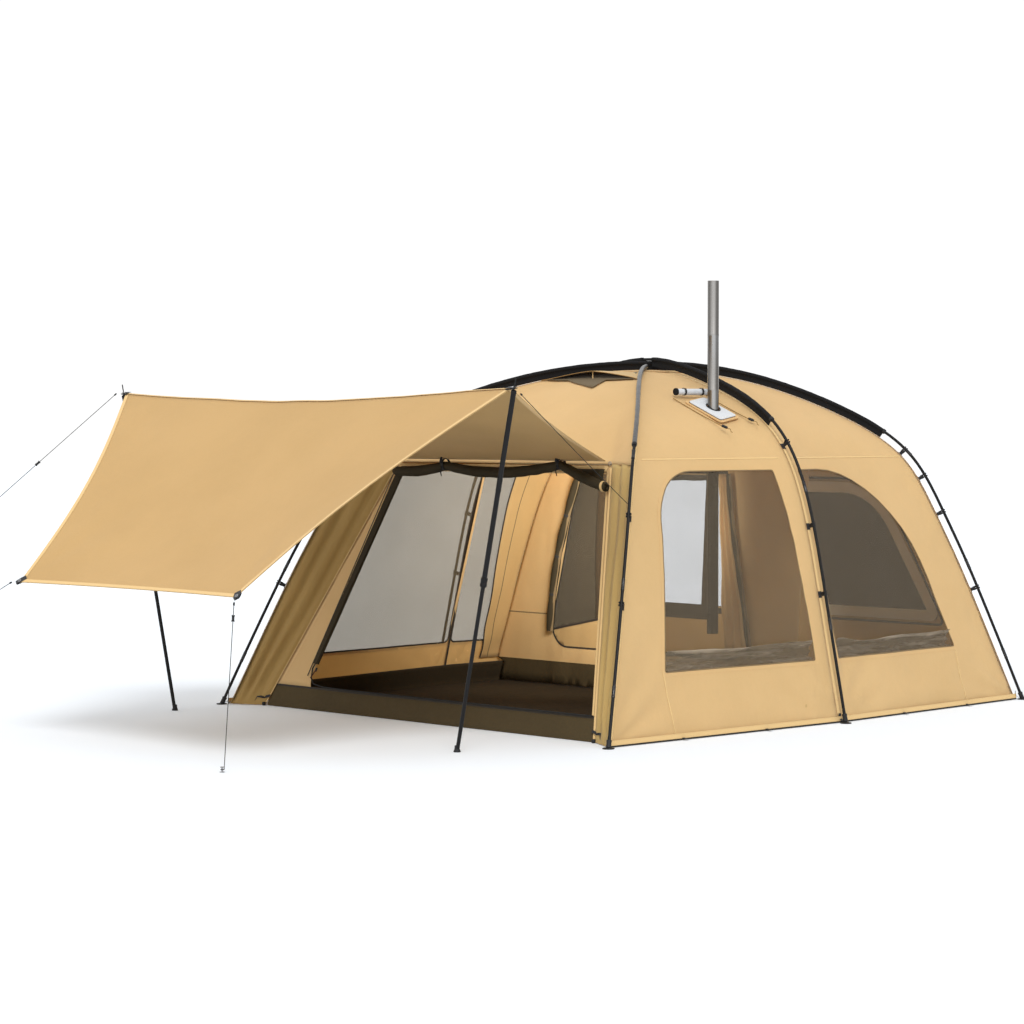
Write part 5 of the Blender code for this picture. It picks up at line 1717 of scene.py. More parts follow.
def make_awning():
    mirror = (-1, 1, 1)
    corners = ((TIP, 0.010), (TIP * mirror, 0.010), (AWNING_LOW, 0.007), (AWNING_LOW * mirror, 0.007))

    def place(u, v):
        return awning_point((2 * u - 1) * 0.985, v * 2)

    def relief(points, u, v):
        flat = points.reshape(-1, 3)
        edge = np.clip(np.minimum(np.minimum(u, 1 - u) * 10, np.minimum(v, 1 - v) * 10), 0, 1)
        amount = layered(flat[:, 0] * 1.1, flat[:, 1] * 1.2, 61) * 0.007 * edge
        for corner, strength in corners:
            away = flat - corner
            reach = np.linalg.norm(away, axis=1)
            angle = np.arctan2(away[:, 1], -np.sign(corner[0]) * away[:, 0])
            amount += strength * np.exp(-reach / 0.45) * np.cos(angle * 9) * np.clip(
                reach / 0.12, 0, 1,
            ) * edge
        return amount

    points = panel_points(place, spaced(0, 1, 90), spaced(0, 1, 90), UP, relief)
    # The underside gets the awning's darker copy: painted shade.
    piece = cloth_from("awning_cloth", grid_bmesh(points, UP), AWNING_CLOTH, inside=AWNING_PAINTED_SHADE)
    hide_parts("awning")
    normals = grid_normals(points, UP)
    rims = (
        ("near", points[:, -1], points[:, -2], normals[:, -1]),
        ("far", points[:, 0], points[:, 1], normals[:, 0]),
        ("low", points[-1], points[-2], normals[-1]), ("eave", points[0], points[1], normals[0]),
    )
    for word, rim, inner, normal in rims:
        line = rim + unit(inner - rim) * 0.013
        ribbon("awning_hem_" + word, line, normal, 0.024, TAN_TAPE, 0.0008)
        ribbon("awning_hem_under_" + word, line, -normal, 0.024, TAN_TAPE, 0.0026)
    for side in (-1, 1):
        for corner, label in ((TIP, "tip"), (AWNING_LOW, "low")):
            make_corner(side, label, corner * (side, 1, 1), points, normals)
    ribbon("awning_ridge_tape", points[45], normals[45], 0.018, TAN_TAPE, 0.0008, 0.0010)


def make_corner(side, label, spot, points, normals):
    """Reinforced corner: a stitched dark patch on both faces, with a steel eyelet."""
    flat = points.reshape(-1, 3)
    nearest = np.argmin(np.linalg.norm(flat - spot, axis=1))
    normal = normals.reshape(-1, 3)[nearest]
    inward = unit(np.array((0, -3.0 if label == "tip" else -2.6, 1.4)) - spot)
    inward = unit(inward - normal * (inward @ normal))
    if label == "tip":
        inward = np.array((-side, 0.0, 0.0))
    tag = "awning_corner_" + label + "_" + SIDE_WORD[side]
    line = np.array([spot + inward * d for d in (-0.012, 0.01, 0.03, 0.055)])
    widths = np.array((0.030, 0.042, 0.044, 0.040))
    ribbon(tag + "_patch", line, [normal] * 4, widths, BLACK_WEB, 0.0022, 0.0014)
    ribbon(tag + "_patch_under", line, [-normal] * 4, widths, BLACK_WEB, 0.0042, 0.0014)
    centre = spot + inward * 0.012 + normal * 0.005
    ring = circle(centre, inward * 0.009, np.cross(normal, inward) * 0.009, 20, True)
    tube(tag + "_eyelet", ring, 0.0022, PEG_STEEL, 3)


def make_awning_pole(side):
    word = SIDE_WORD[side]
    foot = AWNING_FOOT[side]
    tip = TIP * (side, 1, 1)
    along = unit(tip - foot)
    top = tip - along * 0.012
    start = foot + along * (LOWER_TUBE - TUBE_LAP)
    length = float(np.linalg.norm(top - start))
    r = OUTER_TUBE_R
    spike = length + 0.012 + TIP_SPIKE
    clamp = [
        (INNER_TUBE_R + 0.0006, 0.0), (r + 0.0045, 0.0), (r + 0.005, 0.002), (r + 0.005, 0.018),
        (r + 0.003, 0.021),
        (r + 0.003, 0.029), (r + 0.005, 0.032), (r + 0.005, 0.048), (r, 0.051),
    ]
    grip = [(r, 0.53), (r + 0.0009, 0.532), (r + 0.0009, 0.60), (r, 0.602)]
    head = [
        (r, length - 0.02), (r + 0.0012, length - 0.018), (r + 0.0012, length - 0.003), (r * 0.7, length),
        (0.0042, length + 0.002), (0.0035, length + 0.004), (0.0035, spike - 0.004),
        (0.0024, spike - 0.001), (0, spike),
    ]
    profile = clamp + grip + head
    upper = lathe("awning_pole_upper_tube_" + word, profile, frame_matrix(start, along), POLE, 32)
    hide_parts("awning_pole_upper_" + word)
    lathe(
        "awning_pole_cap_" + word,
        [(0.0050, 0), (0.0066, 0.001), (0.0066, 0.010), (0.0050, 0.013), (0.0036, 0.014)],
        frame_matrix(top + along * 0.006, along), PLASTIC, 24,
    )
    sideways = unit(np.cross(along, (0, 1, 0)))
    button = start + along * 0.036 + sideways * (OUTER_TUBE_R + 0.003)
    lathe(
        "awning_pole_button_" + word, [(0.0042, -0.004), (0.0042, 0.001), (0.003, 0.0032), (0, 0.0036)],
        frame_matrix(button, sideways), PEG_STEEL, 16,
    )
    body = "awning_pole_foot_" + word
    lower = lathe(
        "awning_pole_lower_tube_" + word,
        [
            (0, 0.010), (INNER_TUBE_R, 0.010), (INNER_TUBE_R, LOWER_TUBE - 0.002),
            (INNER_TUBE_R - 0.0015, LOWER_TUBE), (0, LOWER_TUBE),
        ],
        frame_matrix(foot, along), POLE, 28, body=body,
    )
    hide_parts("awning_pole_lower_" + word)
    lathe(
        "awning_pole_pad_" + word,
        [
            (0, 0), (0.0185, 0.0), (0.0200, 0.002), (0.0196, 0.005), (0.0165, 0.012), (0.0140, 0.020),
            (0.0135, 0.034), (0.0118, 0.036), (0.0110, 0.036),
        ],
        frame_matrix(foot, UP), PLASTIC, 32, body=body,
    )


# Stove pipe, its plate and flap

PIPE_BEADS = ((1.30, 1.317, 0.0007), (1.985, 2.001, 0.0006), (2.32, 2.336, 0.0006))


def rectangle(half_w, half_l):
    return [(-half_w, -half_l), (half_w, -half_l), (half_w, half_l), (-half_w, half_l)]


def make_stove():
    u, v = JACK_UV
    pair = ((1, -1), (1, 0))
    side = (1, 0, 0)

    def spot(a, b):
        return sector(side, pair, np.array([a]), np.array([b]))[0]

    middle = spot(u, v)
    along = unit(spot(u + 0.05, v) - spot(u - 0.05, v))
    down = unit(spot(u, v - 0.02) - spot(u, v + 0.02))
    out = unit(np.cross(along, down))
    if out[2] < 0:
        out = -out
    down = unit(np.cross(out, along))
    if down[2] > 0:
        down = -down
    turn = Matrix.Identity(4)
    for i in range(3):
        turn[i][0], turn[i][1], turn[i][2], turn[i][3] = along[i], down[i], out[i], middle[i]
    plate_low = 0.0125
    bm = bmesh.new()
    bm.loops.layers.uv.new("UVMap")
    half_w, half_l = JACK_WIDTH * 0.42, JACK_LENGTH * 0.42
    outline = rounded(rectangle(half_w, half_l), (0.018,) * 4, 6)
    outline = [tuple(p) for p in denser(outline, 0.012)]
    hole = []
    count = len(outline)
    pipe_foot = np.array((*PIPE_XY, 0.0))
    rise = (middle + out * (plate_low + 0.002) - pipe_foot) @ out / out[2]
    centre = pipe_foot + UP * rise
    centre_a, centre_d = (centre - middle) @ along, (centre - middle) @ down
    level = unit(np.cross(out, UP))
    steep = unit(np.cross(level, out))
    hole_r = PIPE_R + 0.007
    for a, d in outline:
        angle = math.atan2(d - centre_d, a - centre_a)
        way = along * math.cos(angle) + down * math.sin(angle)
        radius = 1 / math.hypot((way @ level) / hole_r, (way @ steep) * out[2] / hole_r)
        hole.append((centre_a + radius * math.cos(angle), centre_d + radius * math.sin(angle)))
    rows = []
    for height in (plate_low, plate_low + 0.004):
        outer = [bm.verts.new((a, d, height)) for a, d in outline]
        mid = []
        for (a, d), (c, e) in zip(outline, hole):
            puff = 0.0015 if height > plate_low else 0
            mid.append(bm.verts.new(((a + c) / 2, (d + e) / 2, height + puff)))
        inner = [bm.verts.new((a, d, height)) for a, d in hole]
        rows.append((outer, mid, inner))
    (o0, c0, i0), (o1, c1, i1) = rows
    for k in range(count):
        m = (k + 1) % count
        bm.faces.new((o0[k], o0[m], c0[m], c0[k]))
        bm.faces.new((c0[k], c0[m], i0[m], i0[k]))
        bm.faces.new((o1[k], o1[m], c1[m], c1[k]))
        bm.faces.new((c1[k], c1[m], i1[m], i1[k]))
        bm.faces.new((o0[k], o0[m], o1[m], o1[k]))
        bm.faces.new((i0[k], i0[m], i1[m], i1[k]))
    bmesh.ops.recalc_face_normals(bm, faces=bm.faces)
    bmesh.ops.transform(bm, matrix=turn, verts=bm.verts)
    plate = from_bmesh("stove_jack_plate", bm, JACK, angle=30)
    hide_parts("stove_jack")

    def on_plate(a, d, height):
        return middle + along * a + down * d + out * height

    border = rounded(rectangle(half_w - 0.012, half_l - 0.012), (0.01,) * 4, 5)
    border = [on_plate(a, d, plate_low + 0.004) for a, d in denser(border, 0.02)]
    ribbon(
        "stove_jack_stitching", border, [out] * len(border), 0.007, WHITE_STITCHING, 0.0002, 0.0008, True,
    )
    rim = [on_plate(a, d, plate_low + 0.006) for a, d in hole]
    tube("stove_jack_hole_rim", rim + rim[:1], 0.0042, PLASTIC, 3)
    skirt = rounded(rectangle(half_w + 0.010, half_l + 0.010), (0.02,) * 4, 5)
    line = [on_plate(a, d, 0.004) for a, d in denser(skirt, 0.02)]
    ribbon("stove_jack_border", line, [out] * len(line), 0.018, CANVAS, 0.0, 0.005, True)
    bore = PIPE_R - 0.0012
    beads = []
    for low, high, proud in PIPE_BEADS:
        beads += [
            (PIPE_R, low), (PIPE_R + proud, low + 0.002), (PIPE_R + proud, high - 0.002), (PIPE_R, high),
        ]
    pipe = lathe(
        "stove_pipe_tube",
        [(bore, PIPE_LOW), (PIPE_R, PIPE_LOW), *beads, (PIPE_R, PIPE_TOP - 0.004),
         (PIPE_R + 0.0008, PIPE_TOP - 0.003), (PIPE_R + 0.0008, PIPE_TOP), (bore, PIPE_TOP),
         (bore, PIPE_TOP - 0.3), (bore, PIPE_LOW + 0.3)],
        Matrix.Translation((*PIPE_XY, 0)), STEEL, 64, body="stove_pipe",
    )
    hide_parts("stove_pipe")
    roll_at = middle - down * (JACK_LENGTH / 2 + FLAP_ROLL_R * 1.6) + out * (FLAP_ROLL_R + 0.012)
    roll_way = unit(along * 0.93 + down * 0.30)
    roll_down = unit(np.cross(out, roll_way))
    roll_down = roll_down if roll_down @ down > 0 else -roll_down
    make_flap_roll(roll_at + along * 0.03, roll_way, out, roll_down, JACK_WIDTH * 0.66)
    for offset, label in ((-0.152, "left"), (0.145, "right")):
        line = []
        for k in range(25):
            share = k / 24
            lift = 0.010 - 0.004 * math.sin(math.pi * share)
            line.append(on_plate(offset, -JACK_LENGTH / 2 - 0.05 + share * (JACK_LENGTH + 0.10), lift))
        tube("jack_cord_" + label, line, 0.0030, TAN_CORD, 2, slot="black_webbing")
        end = line[-1]
        lie = frame_matrix(end + out * 0.004, down + along * 0.3)
        toggle("jack_toggle_" + label, 0.020, 0.0065, 0.0085, 0.009, lie)
        tail = [
            end + down * (0.016 + 0.006 * k) + along * 0.014 * math.sin(k * 0.6) + out * 0.002
            for k in range(10)
        ]
        tube("jack_tail_" + label, tail, 0.0024, TAN_CORD, 2, slot="black_webbing")


def make_flap_roll(centre, along, out, down, half):
    """The plate's rain flap, rolled up, with two straps and a black cap at each end."""
    steps = 60
    turns = 2.6
    bm = bmesh.new()
    columns = 18
    rows = []
    for i in range(steps + 1):
        share = i / steps
        angle = share * turns * 2 * math.pi
        radius = 0.006 + (FLAP_ROLL_R - 0.006) * share
        row = []
        for k in range(columns + 1):
            x = (2 * k / columns - 1) * half
            squeeze = 1 - 0.10 * math.exp(-((abs(x) - half * 0.5) / 0.012) ** 2) * share
            spot = centre + along * x + (out * math.cos(angle) + down * math.sin(angle)) * radius * squeeze
            row.append(bm.verts.new(spot))
        rows.append(row)
    bridge(bm, rows)
    bm.normal_update()
    piece = cloth_from("stove_jack_flap_roll", bm, JACK, 0.0014, 0.0)
    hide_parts("stove_jack_flap")
    for x, label in ((-half * 0.5, "left"), (half * 0.5, "right")):
        normals = circle(np.zeros(3), out, down, 32)
        ring = [centre + along * x + way * (FLAP_ROLL_R * 0.93 + 0.001) for way in normals]
        ribbon("jack_flap_strap_" + label, ring, normals, 0.014, BLACK_WEB, 0.0006, 0.0014, True)
    r = FLAP_ROLL_R
    end_profile = [
        (0.004, 0), (r * 0.5, 0.001), (r * 0.96, 0.0), (r * 1.02, -0.004), (r * 1.02, -0.012),
        (r * 0.98, -0.014),
    ]
    for sign, label in ((-1, "left"), (1, "right")):
        lie = frame_matrix(centre + along * (sign * half + sign * 0.002), along * sign)
        lathe("jack_flap_end_" + label, end_profile, lie, SLEEVE_CLOTH, 28)


# Roof vent


def hood_point(u, w):
    across = 0.5 + (u - 0.5) * VENT_SPAN
    v = VENT_SHARES[1] + (VENT_SHARES[0] - VENT_SHARES[1]) * w
    arch = 1 - np.abs(2 * u - 1) ** 1.3
    return roof_point(across, v) + UP * (VENT_GAP + VENT_LIFT * w * arch)[:, None]


def make_vent():
    """The visor on its prop, and the net under it with the droop that shows below the visor's edge; net and
    underside are painted shadow.
    """
    points = grid(hood_point, spaced(0, 1, 60), spaced(0, 1, 14))
    piece = cloth_from(
        "roof_vent_visor", grid_bmesh(points, UP), CANVAS, body="vent_hood", inside=VENT_PAINTED_SHADE,
    )
    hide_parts("roof_vent_hood")
    tube(
        "roof_vent_wire", points[-1] - UP * 0.001, 0.0024, TAN_CORD, 3, body="vent_hood",
        slot="sand_canvas",
    )
    top = hood_point(np.array([0.5]), np.array([0.93]))[0] - UP * 0.003
    base = roof_point(np.array([0.5]), np.array([VENT_SHARES[0]]))[0]
    base[1] = top[1]
    base[2] += 0.007
    long = float(np.linalg.norm(top - base))
    profile = [
        (0, 0), (0.0050, 0), (0.0050, 0.006), (0.0036, 0.010), (0.0034, long - 0.008),
        (0.0050, long - 0.004),
        (0.0048, long), (0, long),
    ]
    strut = lathe(
        "roof_vent_prop", profile, frame_matrix(base, unit(top - base)), TAN_TAPE, 16, body="vent_hood",
    )
    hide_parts("roof_vent_strut")
    shares = spaced(0.06, 0.94, 120)
    droop = np.interp(shares, (0.297, 0.643, 0.668), (0, 1, 0))
    low = 0.836 - 0.006 * np.sin(np.pi * shares) - VENT_DROOP * droop
    rows = np.array(
        [roof_point(0.5 + (shares - 0.5) * VENT_SPAN, low + (0.890 - low) * k / 11) for k in range(12)]
    )
    rows += UP * 0.0125
    # The net is real; its dark brown is painted shadow under the visor.
    cloth_from("roof_vent_net", grid_bmesh(rows, UP), VENT_PAINTED_SHADE, 0.001, 1.0, slot="brown_net")


# Rear covers


def rear_point(x, height):
    share = height_share(height, (1, 1))
    return np.array((x, ridge(1, 1, share)[0][1], height))


def make_rear_covers():
    hinge = rear_point(0, COVER_TOP_Z)
    low = rear_point(0, COVER_TOP_Z - COVER_DROP)
    slope = math.atan2(low[1] - hinge[1], hinge[2] - low[2])
    fall = slope + COVER_TILT

    def place(u, v):
        inner = REAR_WINDOW_IN - COVER_MARGIN - 0.05
        outer = REAR_WINDOW_TOP_X + (REAR_WINDOW_LOW_X - REAR_WINDOW_TOP_X) * v + COVER_MARGIN
        drop = COVER_CLOTH_DROP * v
        x = inner + (outer - inner) * u
        belly = 0.012 * np.sin(np.pi * u) * np.sin(np.pi * v)
        ripple = rough(u * 5, v * 2, 91) * 0.004 * v
        y = hinge[1] + 0.012 + math.sin(fall) * drop + belly + ripple
        z = hinge[2] - math.cos(fall) * drop
        return np.stack((x, y, z), 1)

    points = grid(place, spaced(0, 1, 40), spaced(0, 1, 32))
    piece = cloth_from("rear_cover_cloth", grid_bmesh(points, (0, 1, 0)), BLACK_COVER, body="rear_hood")
    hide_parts("rear_window_hood")
    low_normals = grid_normals(points, (0, 1, 0))[-1]
    hem = ribbon("rear_cover_hem", points[-1], low_normals, 0.02, BLACK_WEB, 0.0005, body="rear_hood")
    spot = rear_point(0, COVER_TOP_Z - COVER_ROLL_R)
    spot[1] += COVER_ROLL_R + 0.012
    inner = np.array((-REAR_WINDOW_IN + COVER_MARGIN, spot[1], spot[2]))
    outer = np.array((-REAR_WINDOW_TOP_X - COVER_MARGIN, spot[1], spot[2]))
    make_cover_roll(inner, outer, COVER_ROLL_R * 0.97)


def make_cover_roll(start, finish, radius):
    """The rolled-up cover: a spiral of cloth, pinched where it is tied and fuller between."""
    ties, belly = 4, 0.15
    along = unit(finish - start)
    length = float(np.linalg.norm(finish - start))
    down = unit(UP - along * (UP @ along)) * -1
    out = np.cross(along, down)
    columns, steps = 64, 72
    bm = bmesh.new()
    rows = []
    for i in range(steps + 1):
        share = i / steps
        angle = share * ROLL_TURNS * 2 * math.pi
        spiral = 0.18 + 0.82 * share
        row = []
        for k in range(columns + 1):
            s = k / columns
            full = 1 - belly + belly * abs(math.sin(math.pi * s * (ties + 1)))
            wrinkle = 1 + 0.05 * float(rough(s * 24, angle * 0.7, 13)) * share
            spot = start + along * (length * s)
            way = down * math.cos(angle) + out * math.sin(angle)
            row.append(bm.verts.new(spot + way * radius * spiral * full * wrinkle))
        rows.append(row)
    bridge(bm, rows)
    bm.normal_update()
    piece = cloth_from("rear_cover_roll_cloth", bm, BLACK_COVER, 0.0012, 0.0)
    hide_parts("rear_cover_roll")


# Groundsheet


def offset_outline(points, inset):
    moved = []
    count = len(points)
    for i in range(count):
        here, before, after = points[i], points[i - 1], points[(i + 1) % count]
        n1 = Vector((-(here - before).y, (here - before).x)).normalized()
        n2 = Vector((-(after - here).y, (after - here).x)).normalized()
        moved.append(here + (n1 + n2) * inset / (1 + n1.dot(n2)))
    return moved


def make_tub():
    """The groundsheet: a floor that ripples a little, and a raised border."""
    outline = [Vector((WALL_FOOT_X - 0.012, WALL_FOOT_Y))]
    for end in (0, 1):
        base = ridge(1, end, 0)[0]
        outline.append(Vector((base[0], base[1])) - Vector((TUB_INSET, TUB_INSET * end)))
    outline += [Vector((-p.x, p.y)) for p in reversed(outline)]
    lean = (EAVE_Y - WALL_FOOT_Y) / EAVE_Z * TUB_HEIGHT
    upper = offset_outline(outline, TUB_LEAN)
    for i in (0, -1):
        upper[i] = Vector((upper[i].x, outline[i].y + lean))
    ring_low, ring_high = [], []
    for i in range(len(outline)):
        j = (i + 1) % len(outline)
        steps = max(2, int((outline[j] - outline[i]).length / 0.035))
        for k in range(steps):
            ring_low.append(outline[i].lerp(outline[j], k / steps))
            ring_high.append(upper[i].lerp(upper[j], k / steps))
    count = len(ring_low)
    bm = bmesh.new()
    rows = []
    levels = 9
    for r in range(levels):
        share = r / (levels - 1)
        row = []
        for k in range(count):
            point = ring_low[k].lerp(ring_high[k], share)
            inward = -Vector((point.x, point.y)).normalized()
            wave = float(rough(k * 0.22, share * 2.0, 7)) * 0.005 * math.sin(math.pi * share)
            wave += float(rough(k * 0.07, 5.0, 9)) * 0.004 * math.sin(math.pi * share)
            round_off = 0.010 * max(0.0, 1 - share * 5) ** 2
            point = point + inward * (0.0015 + max(-0.001, wave) + round_off)
            row.append(bm.verts.new((point.x, point.y, 0.0012 + (TUB_HEIGHT - 0.0015) * share)))
        rows.append(row)
    bridge(bm, rows, True)
    centre_rows = [rows[0]]
    for ring_share in (0.93, 0.85, 0.75, 0.62, 0.48, 0.33, 0.17):
        row = []
        for k in range(count):
            point = ring_low[k] * ring_share
            height = 0.0030 + 0.0030 * float(layered(point.x * 3.2, point.y * 3.2, 3)) ** 2
            row.append(bm.verts.new((point.x, point.y, height)))
        centre_rows.append(row)
    for near, far in zip(centre_rows, centre_rows[1:]):
        for k in range(count):
            m = (k + 1) % count
            bm.faces.new((near[m], near[k], far[k], far[m]))
    bm.faces.new(centre_rows[-1])
    bmesh.ops.recalc_face_normals(bm, faces=bm.faces)
    # Inner faces get the darker brown: painted shade.
    piece = cloth_from("groundsheet_cloth", bm, TUB, inside=TUB_PAINTED_SHADE)
    smooth(piece, 60)
    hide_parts("groundsheet")
    rim = np.array([(p.x, p.y, TUB_HEIGHT - 0.002) for p in ring_high])
    normals = np.array([(p.x, p.y, 0.0) for p in ring_high])
    ribbon("groundsheet_rim_tape", rim, unit(normals), 0.014, DARK_TAPE, 0.001, 0.0014, True)


# Partition


def cross_width(height):
    """How far out the inner wall meets the side wall at a height."""
    place = float(partition_y(height))
    low, high = 0.0, PANEL_TOP
    v = u = 0.0
    for _ in range(30):
        v = (low + high) / 2
        first, last = ridge(1, 0, v)[0][1], ridge(1, 1, v)[0][1]
        u = min(1.0, max(0.0, (place - first) / (last - first)))
        z = sector((1, 0, 0), ((1, 0), (1, 1)), np.array([u]), np.array([v]))[0][2]
        low, high = (v, high) if z < height else (low, v)
    return float(sector((1, 0, 0), ((1, 0), (1, 1)), np.array([u]), np.array([v]))[0][0])


def make_leaf(line):
    """The right leaf of the inner door, drawn aside and hanging in folds along its roll."""
    columns = 36
    made = np.zeros((len(line), columns, 3))
    for i, spot in enumerate(line):
        share = i / (len(line) - 1)
        width = 0.060 + 0.150 * share
        for k in range(columns):
            t = k / (columns - 1)
            fold = 0.016 * math.sin(2 * math.pi * (t * 3.2 + 0.25 * float(rough(share * 4, t, 35))))
            made[i, k] = spot + np.array((-width * (1 - t), fold - 0.012, 0))
    cloth_from("partition_leaf_cloth", grid_bmesh(made, (0, -1, 0)), INNER_CLOTH, 0.0012)


def make_partition():
    heights = np.concatenate(([0.014, 0.08, 0.135, 0.165], np.linspace(0.19, PARTITION_TOP, 44)))
    table = np.array([cross_width(h) for h in heights]) - 0.016
    floor_half = table[0] - TUB_INSET + 0.010
    for i, height in enumerate(heights):
        if height <= 0.136:
            table[i] = floor_half - TUB_LEAN * height / TUB_HEIGHT - 0.012

    def place(u, v):
        height = np.interp(v, np.linspace(0, 1, len(heights)), heights)
        half = np.interp(height, heights, table)
        x = -half + (half + np.minimum(half, PARTITION_EDGE_X)) * u
        return np.stack((x, partition_y(height), height), 1)

    def relief(points, u, v):
        flat = points.reshape(-1, 3)
        edge = np.clip(np.minimum(u, 1 - u) * 8, 0, 1)
        folds = layered(flat[:, 0] * 3.6, flat[:, 2] * 0.7, 71) * 0.012
        return (folds + layered(flat[:, 0] * 1.2, flat[:, 2] * 1.1, 75) * 0.010) * edge

    front = (0, -1, 0)
    points = panel_points(place, spaced(0, 1, 100), np.linspace(0, 1, len(heights)), front, relief)
    bm = grid_bmesh(points, front)
    tree = BVHTree.FromBMesh(bm)
    corners = [
        (INNER_DOOR[0], INNER_SILL), (INNER_DOOR[1], INNER_SILL),
        (INNER_DOOR[3], INNER_DOOR_TOP), (INNER_DOOR[2], INNER_DOOR_TOP),
    ]
    outline = rounded(corners, (0.16, 0.16, 0.10, 0.10), 10)
    inside = cut_inside(bm, outline, 1)
    leaf = piece_of(inside)
    bmesh.ops.delete(bm, geom=inside, context="FACES")
    for face in bm.faces:
        if face.calc_center_median().z < 0.165:
            face.material_index = 1
    piece = cloth_from("partition_cloth", bm, INNER_CLOTH, offset=0.0)
    piece.data.materials.append(TUB)
    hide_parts("partition")
    part = [(-1.30, 0.10), (-0.45, 0.10), (-0.45, 1.70), (-1.30, 1.70)]
    half_leaf = piece_of(cut_inside(leaf, part, 1))
    low_part = [(-1.30, 0.05), (-0.40, 0.05), (-0.40, 0.532), (-1.30, 0.346)]
    low_faces = cut_inside(half_leaf, low_part, 1)
    kick = piece_of(low_faces)
    bmesh.ops.delete(half_leaf, geom=low_faces, context="FACES")
    leaf.free()
    cloth_from("partition_door_net", half_leaf, SHADE_NET, 0.0012)
    cloth_from("partition_door_foot", kick, CANVAS_PAINTED_SHADE, 0.0014)
    band = [(-1.16 + 0.70 * k / 20, 0.378 + 0.145 * k / 20) for k in range(21)]
    line, normals = on_surface(tree, band, 1, FRONT_ROOM_Y, 1)
    ribbon("partition_door_band", line, normals, 0.014, DARK_TAPE, 0.002, 0.0012)
    line, normals = on_surface(tree, denser(outline), 1, FRONT_ROOM_Y, 1)
    ribbon("partition_door_zip", line, normals, 0.012, DARK_TAPE, 0.0016, 0.0014, True)
    seam = [(x, 0.485) for x in np.linspace(-1.60, -1.15, 20)]
    line, normals = on_surface(tree, seam, 1, FRONT_ROOM_Y, 1)
    ribbon("partition_seam_left", line, normals, 0.008, BROWN_TAPE, 0.001, 0.001, slot="sand_canvas")
    rolls = (
        ("left", ((-0.955, 1.46), (-1.045, 1.16), (-1.105, 0.88), (-1.130, 0.62), (-1.132, 0.37)), 0.029),
        ("right", ((0.385, 1.46), (0.44, 1.16), (0.515, 0.88), (0.585, 0.62), (0.66, 0.34)), 0.020),
    )
    for label, knots, radius in rolls:
        count = 44
        x_curve, z_curve = natural([k[0] for k in knots]), natural([k[1] for k in knots])
        shares = np.linspace(0, 1, count + 1)
        x, z = curve_at(x_curve, shares), curve_at(z_curve, shares)
        line = np.stack((x, partition_y(z) - 0.038, z), 1)
        radii = [
            0.78 + 0.22 * abs(math.sin(math.pi * t * 4)) + 0.05 * float(rough(t * 30, 2.0, 33))
            for t in shares
        ]
        tube("partition_door_roll_" + label, line, radius, OLIVE, 4, slot="brown_groundsheet", radii=radii)
        ribbon(
            "partition_roll_hem_" + label, line + np.array((radius * 0.8, -0.004, 0)),
            [(0.5, -0.85, 0)] * len(line), 0.016,
            BROWN_TAPE, 0.004, 0.002, slot="sand_canvas",
        )
        if label == "right":
            make_leaf(line)
        for k in (11, 22, 33):
            way = unit(line[k + 1] - line[k])
            lathe(
                "partition_tie_" + label + "_" + str(k),
                [
                    (radius * 0.72, -0.008), (radius * 0.84, -0.007), (radius * 0.86, 0.0),
                    (radius * 0.84, 0.007), (radius * 0.72, 0.008),
                ],
                frame_matrix(line[k], way), BLACK_WEB, 20,
            )


# Door


def door_wall(x, height, off=0.0):
    """A point on the front wall's plane, some way out from it."""
    rise = unit(np.array((0, EAVE_Y - WALL_FOOT_Y, EAVE_Z)))
    spot = wall_edge(1, height)[0]
    spot[0] = x
    return spot + np.array((0, -rise[2], rise[1])) * off


def make_door():
    out = door_wall(0, 1.0, 1.0) - door_wall(0, 1.0)
    rise = unit(np.array((0, EAVE_Y - WALL_FOOT_Y, EAVE_Z)))
    shares = np.linspace(0, 1, 60)
    line = np.array([door_wall(-1.090 + 0.212 * t, 0.275 + 1.205 * t, 0.006) for t in shares])
    ribbon(
        "door_edge_left", line, [out] * 60, 0.034 + 0.024 * shares, OLIVE, 0.004, 0.008,
        slot="brown_groundsheet",
    )
    tube("door_edge_left_bead", line + np.array((0.020, 0, 0)), 0.007, OLIVE, 3, slot="brown_groundsheet")
    line = np.array([door_wall(-1.105 + 0.190 * t, 0.20 + 1.29 * t, 0.004) for t in shares])
    ribbon("door_zip_left", line - np.array((0.022, 0, 0)), [out] * 60, 0.007, BLACK_WEB, 0.004, 0.002)
    line = np.array([door_wall(1.385 - 0.455 * t, 0.14 + 1.345 * t, 0.003) for t in shares])
    ribbon("door_edge_right", line, [out] * 60, 0.014, TAN_TAPE, 0.002, 0.003)
    corner = [
        (-1.082, 0.30), (-1.100, 0.245), (-1.085, 0.190), (-1.045, 0.155), (-0.95, 0.142), (-0.8, 0.139),
    ]
    sill = [(x, 0.138) for x in np.linspace(-0.7, 1.385, 50)]
    piping = np.array([door_wall(x, z, 0.010) for x, z in corner + sill])
    tube("door_sill_piping", piping, 0.0042, CORD, 3)
    turn = frame_matrix(door_wall(-(DOOR_LOW_X + ZIP_OUT), ZIP_HEIGHT, 0.0125), out, (1, 0, 0))
    slider = block("door_zip_pull_body", (0.012, 0.026, 0.006), turn, PLASTIC, 0.0018, body="zip_slider")
    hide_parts("door_zip_slider")
    spot = door_wall(-(DOOR_LOW_X + ZIP_OUT), ZIP_HEIGHT, 0.017)
    tail = [spot - rise * (0.010 + 0.006 * k) - np.array((0.003 * k, 0, 0)) for k in range(9)]
    tube("door_zip_pull_tail", tail, 0.0034, RED_CORD, 2, body="zip_slider", slot="black_plastic")
    make_door_roll()


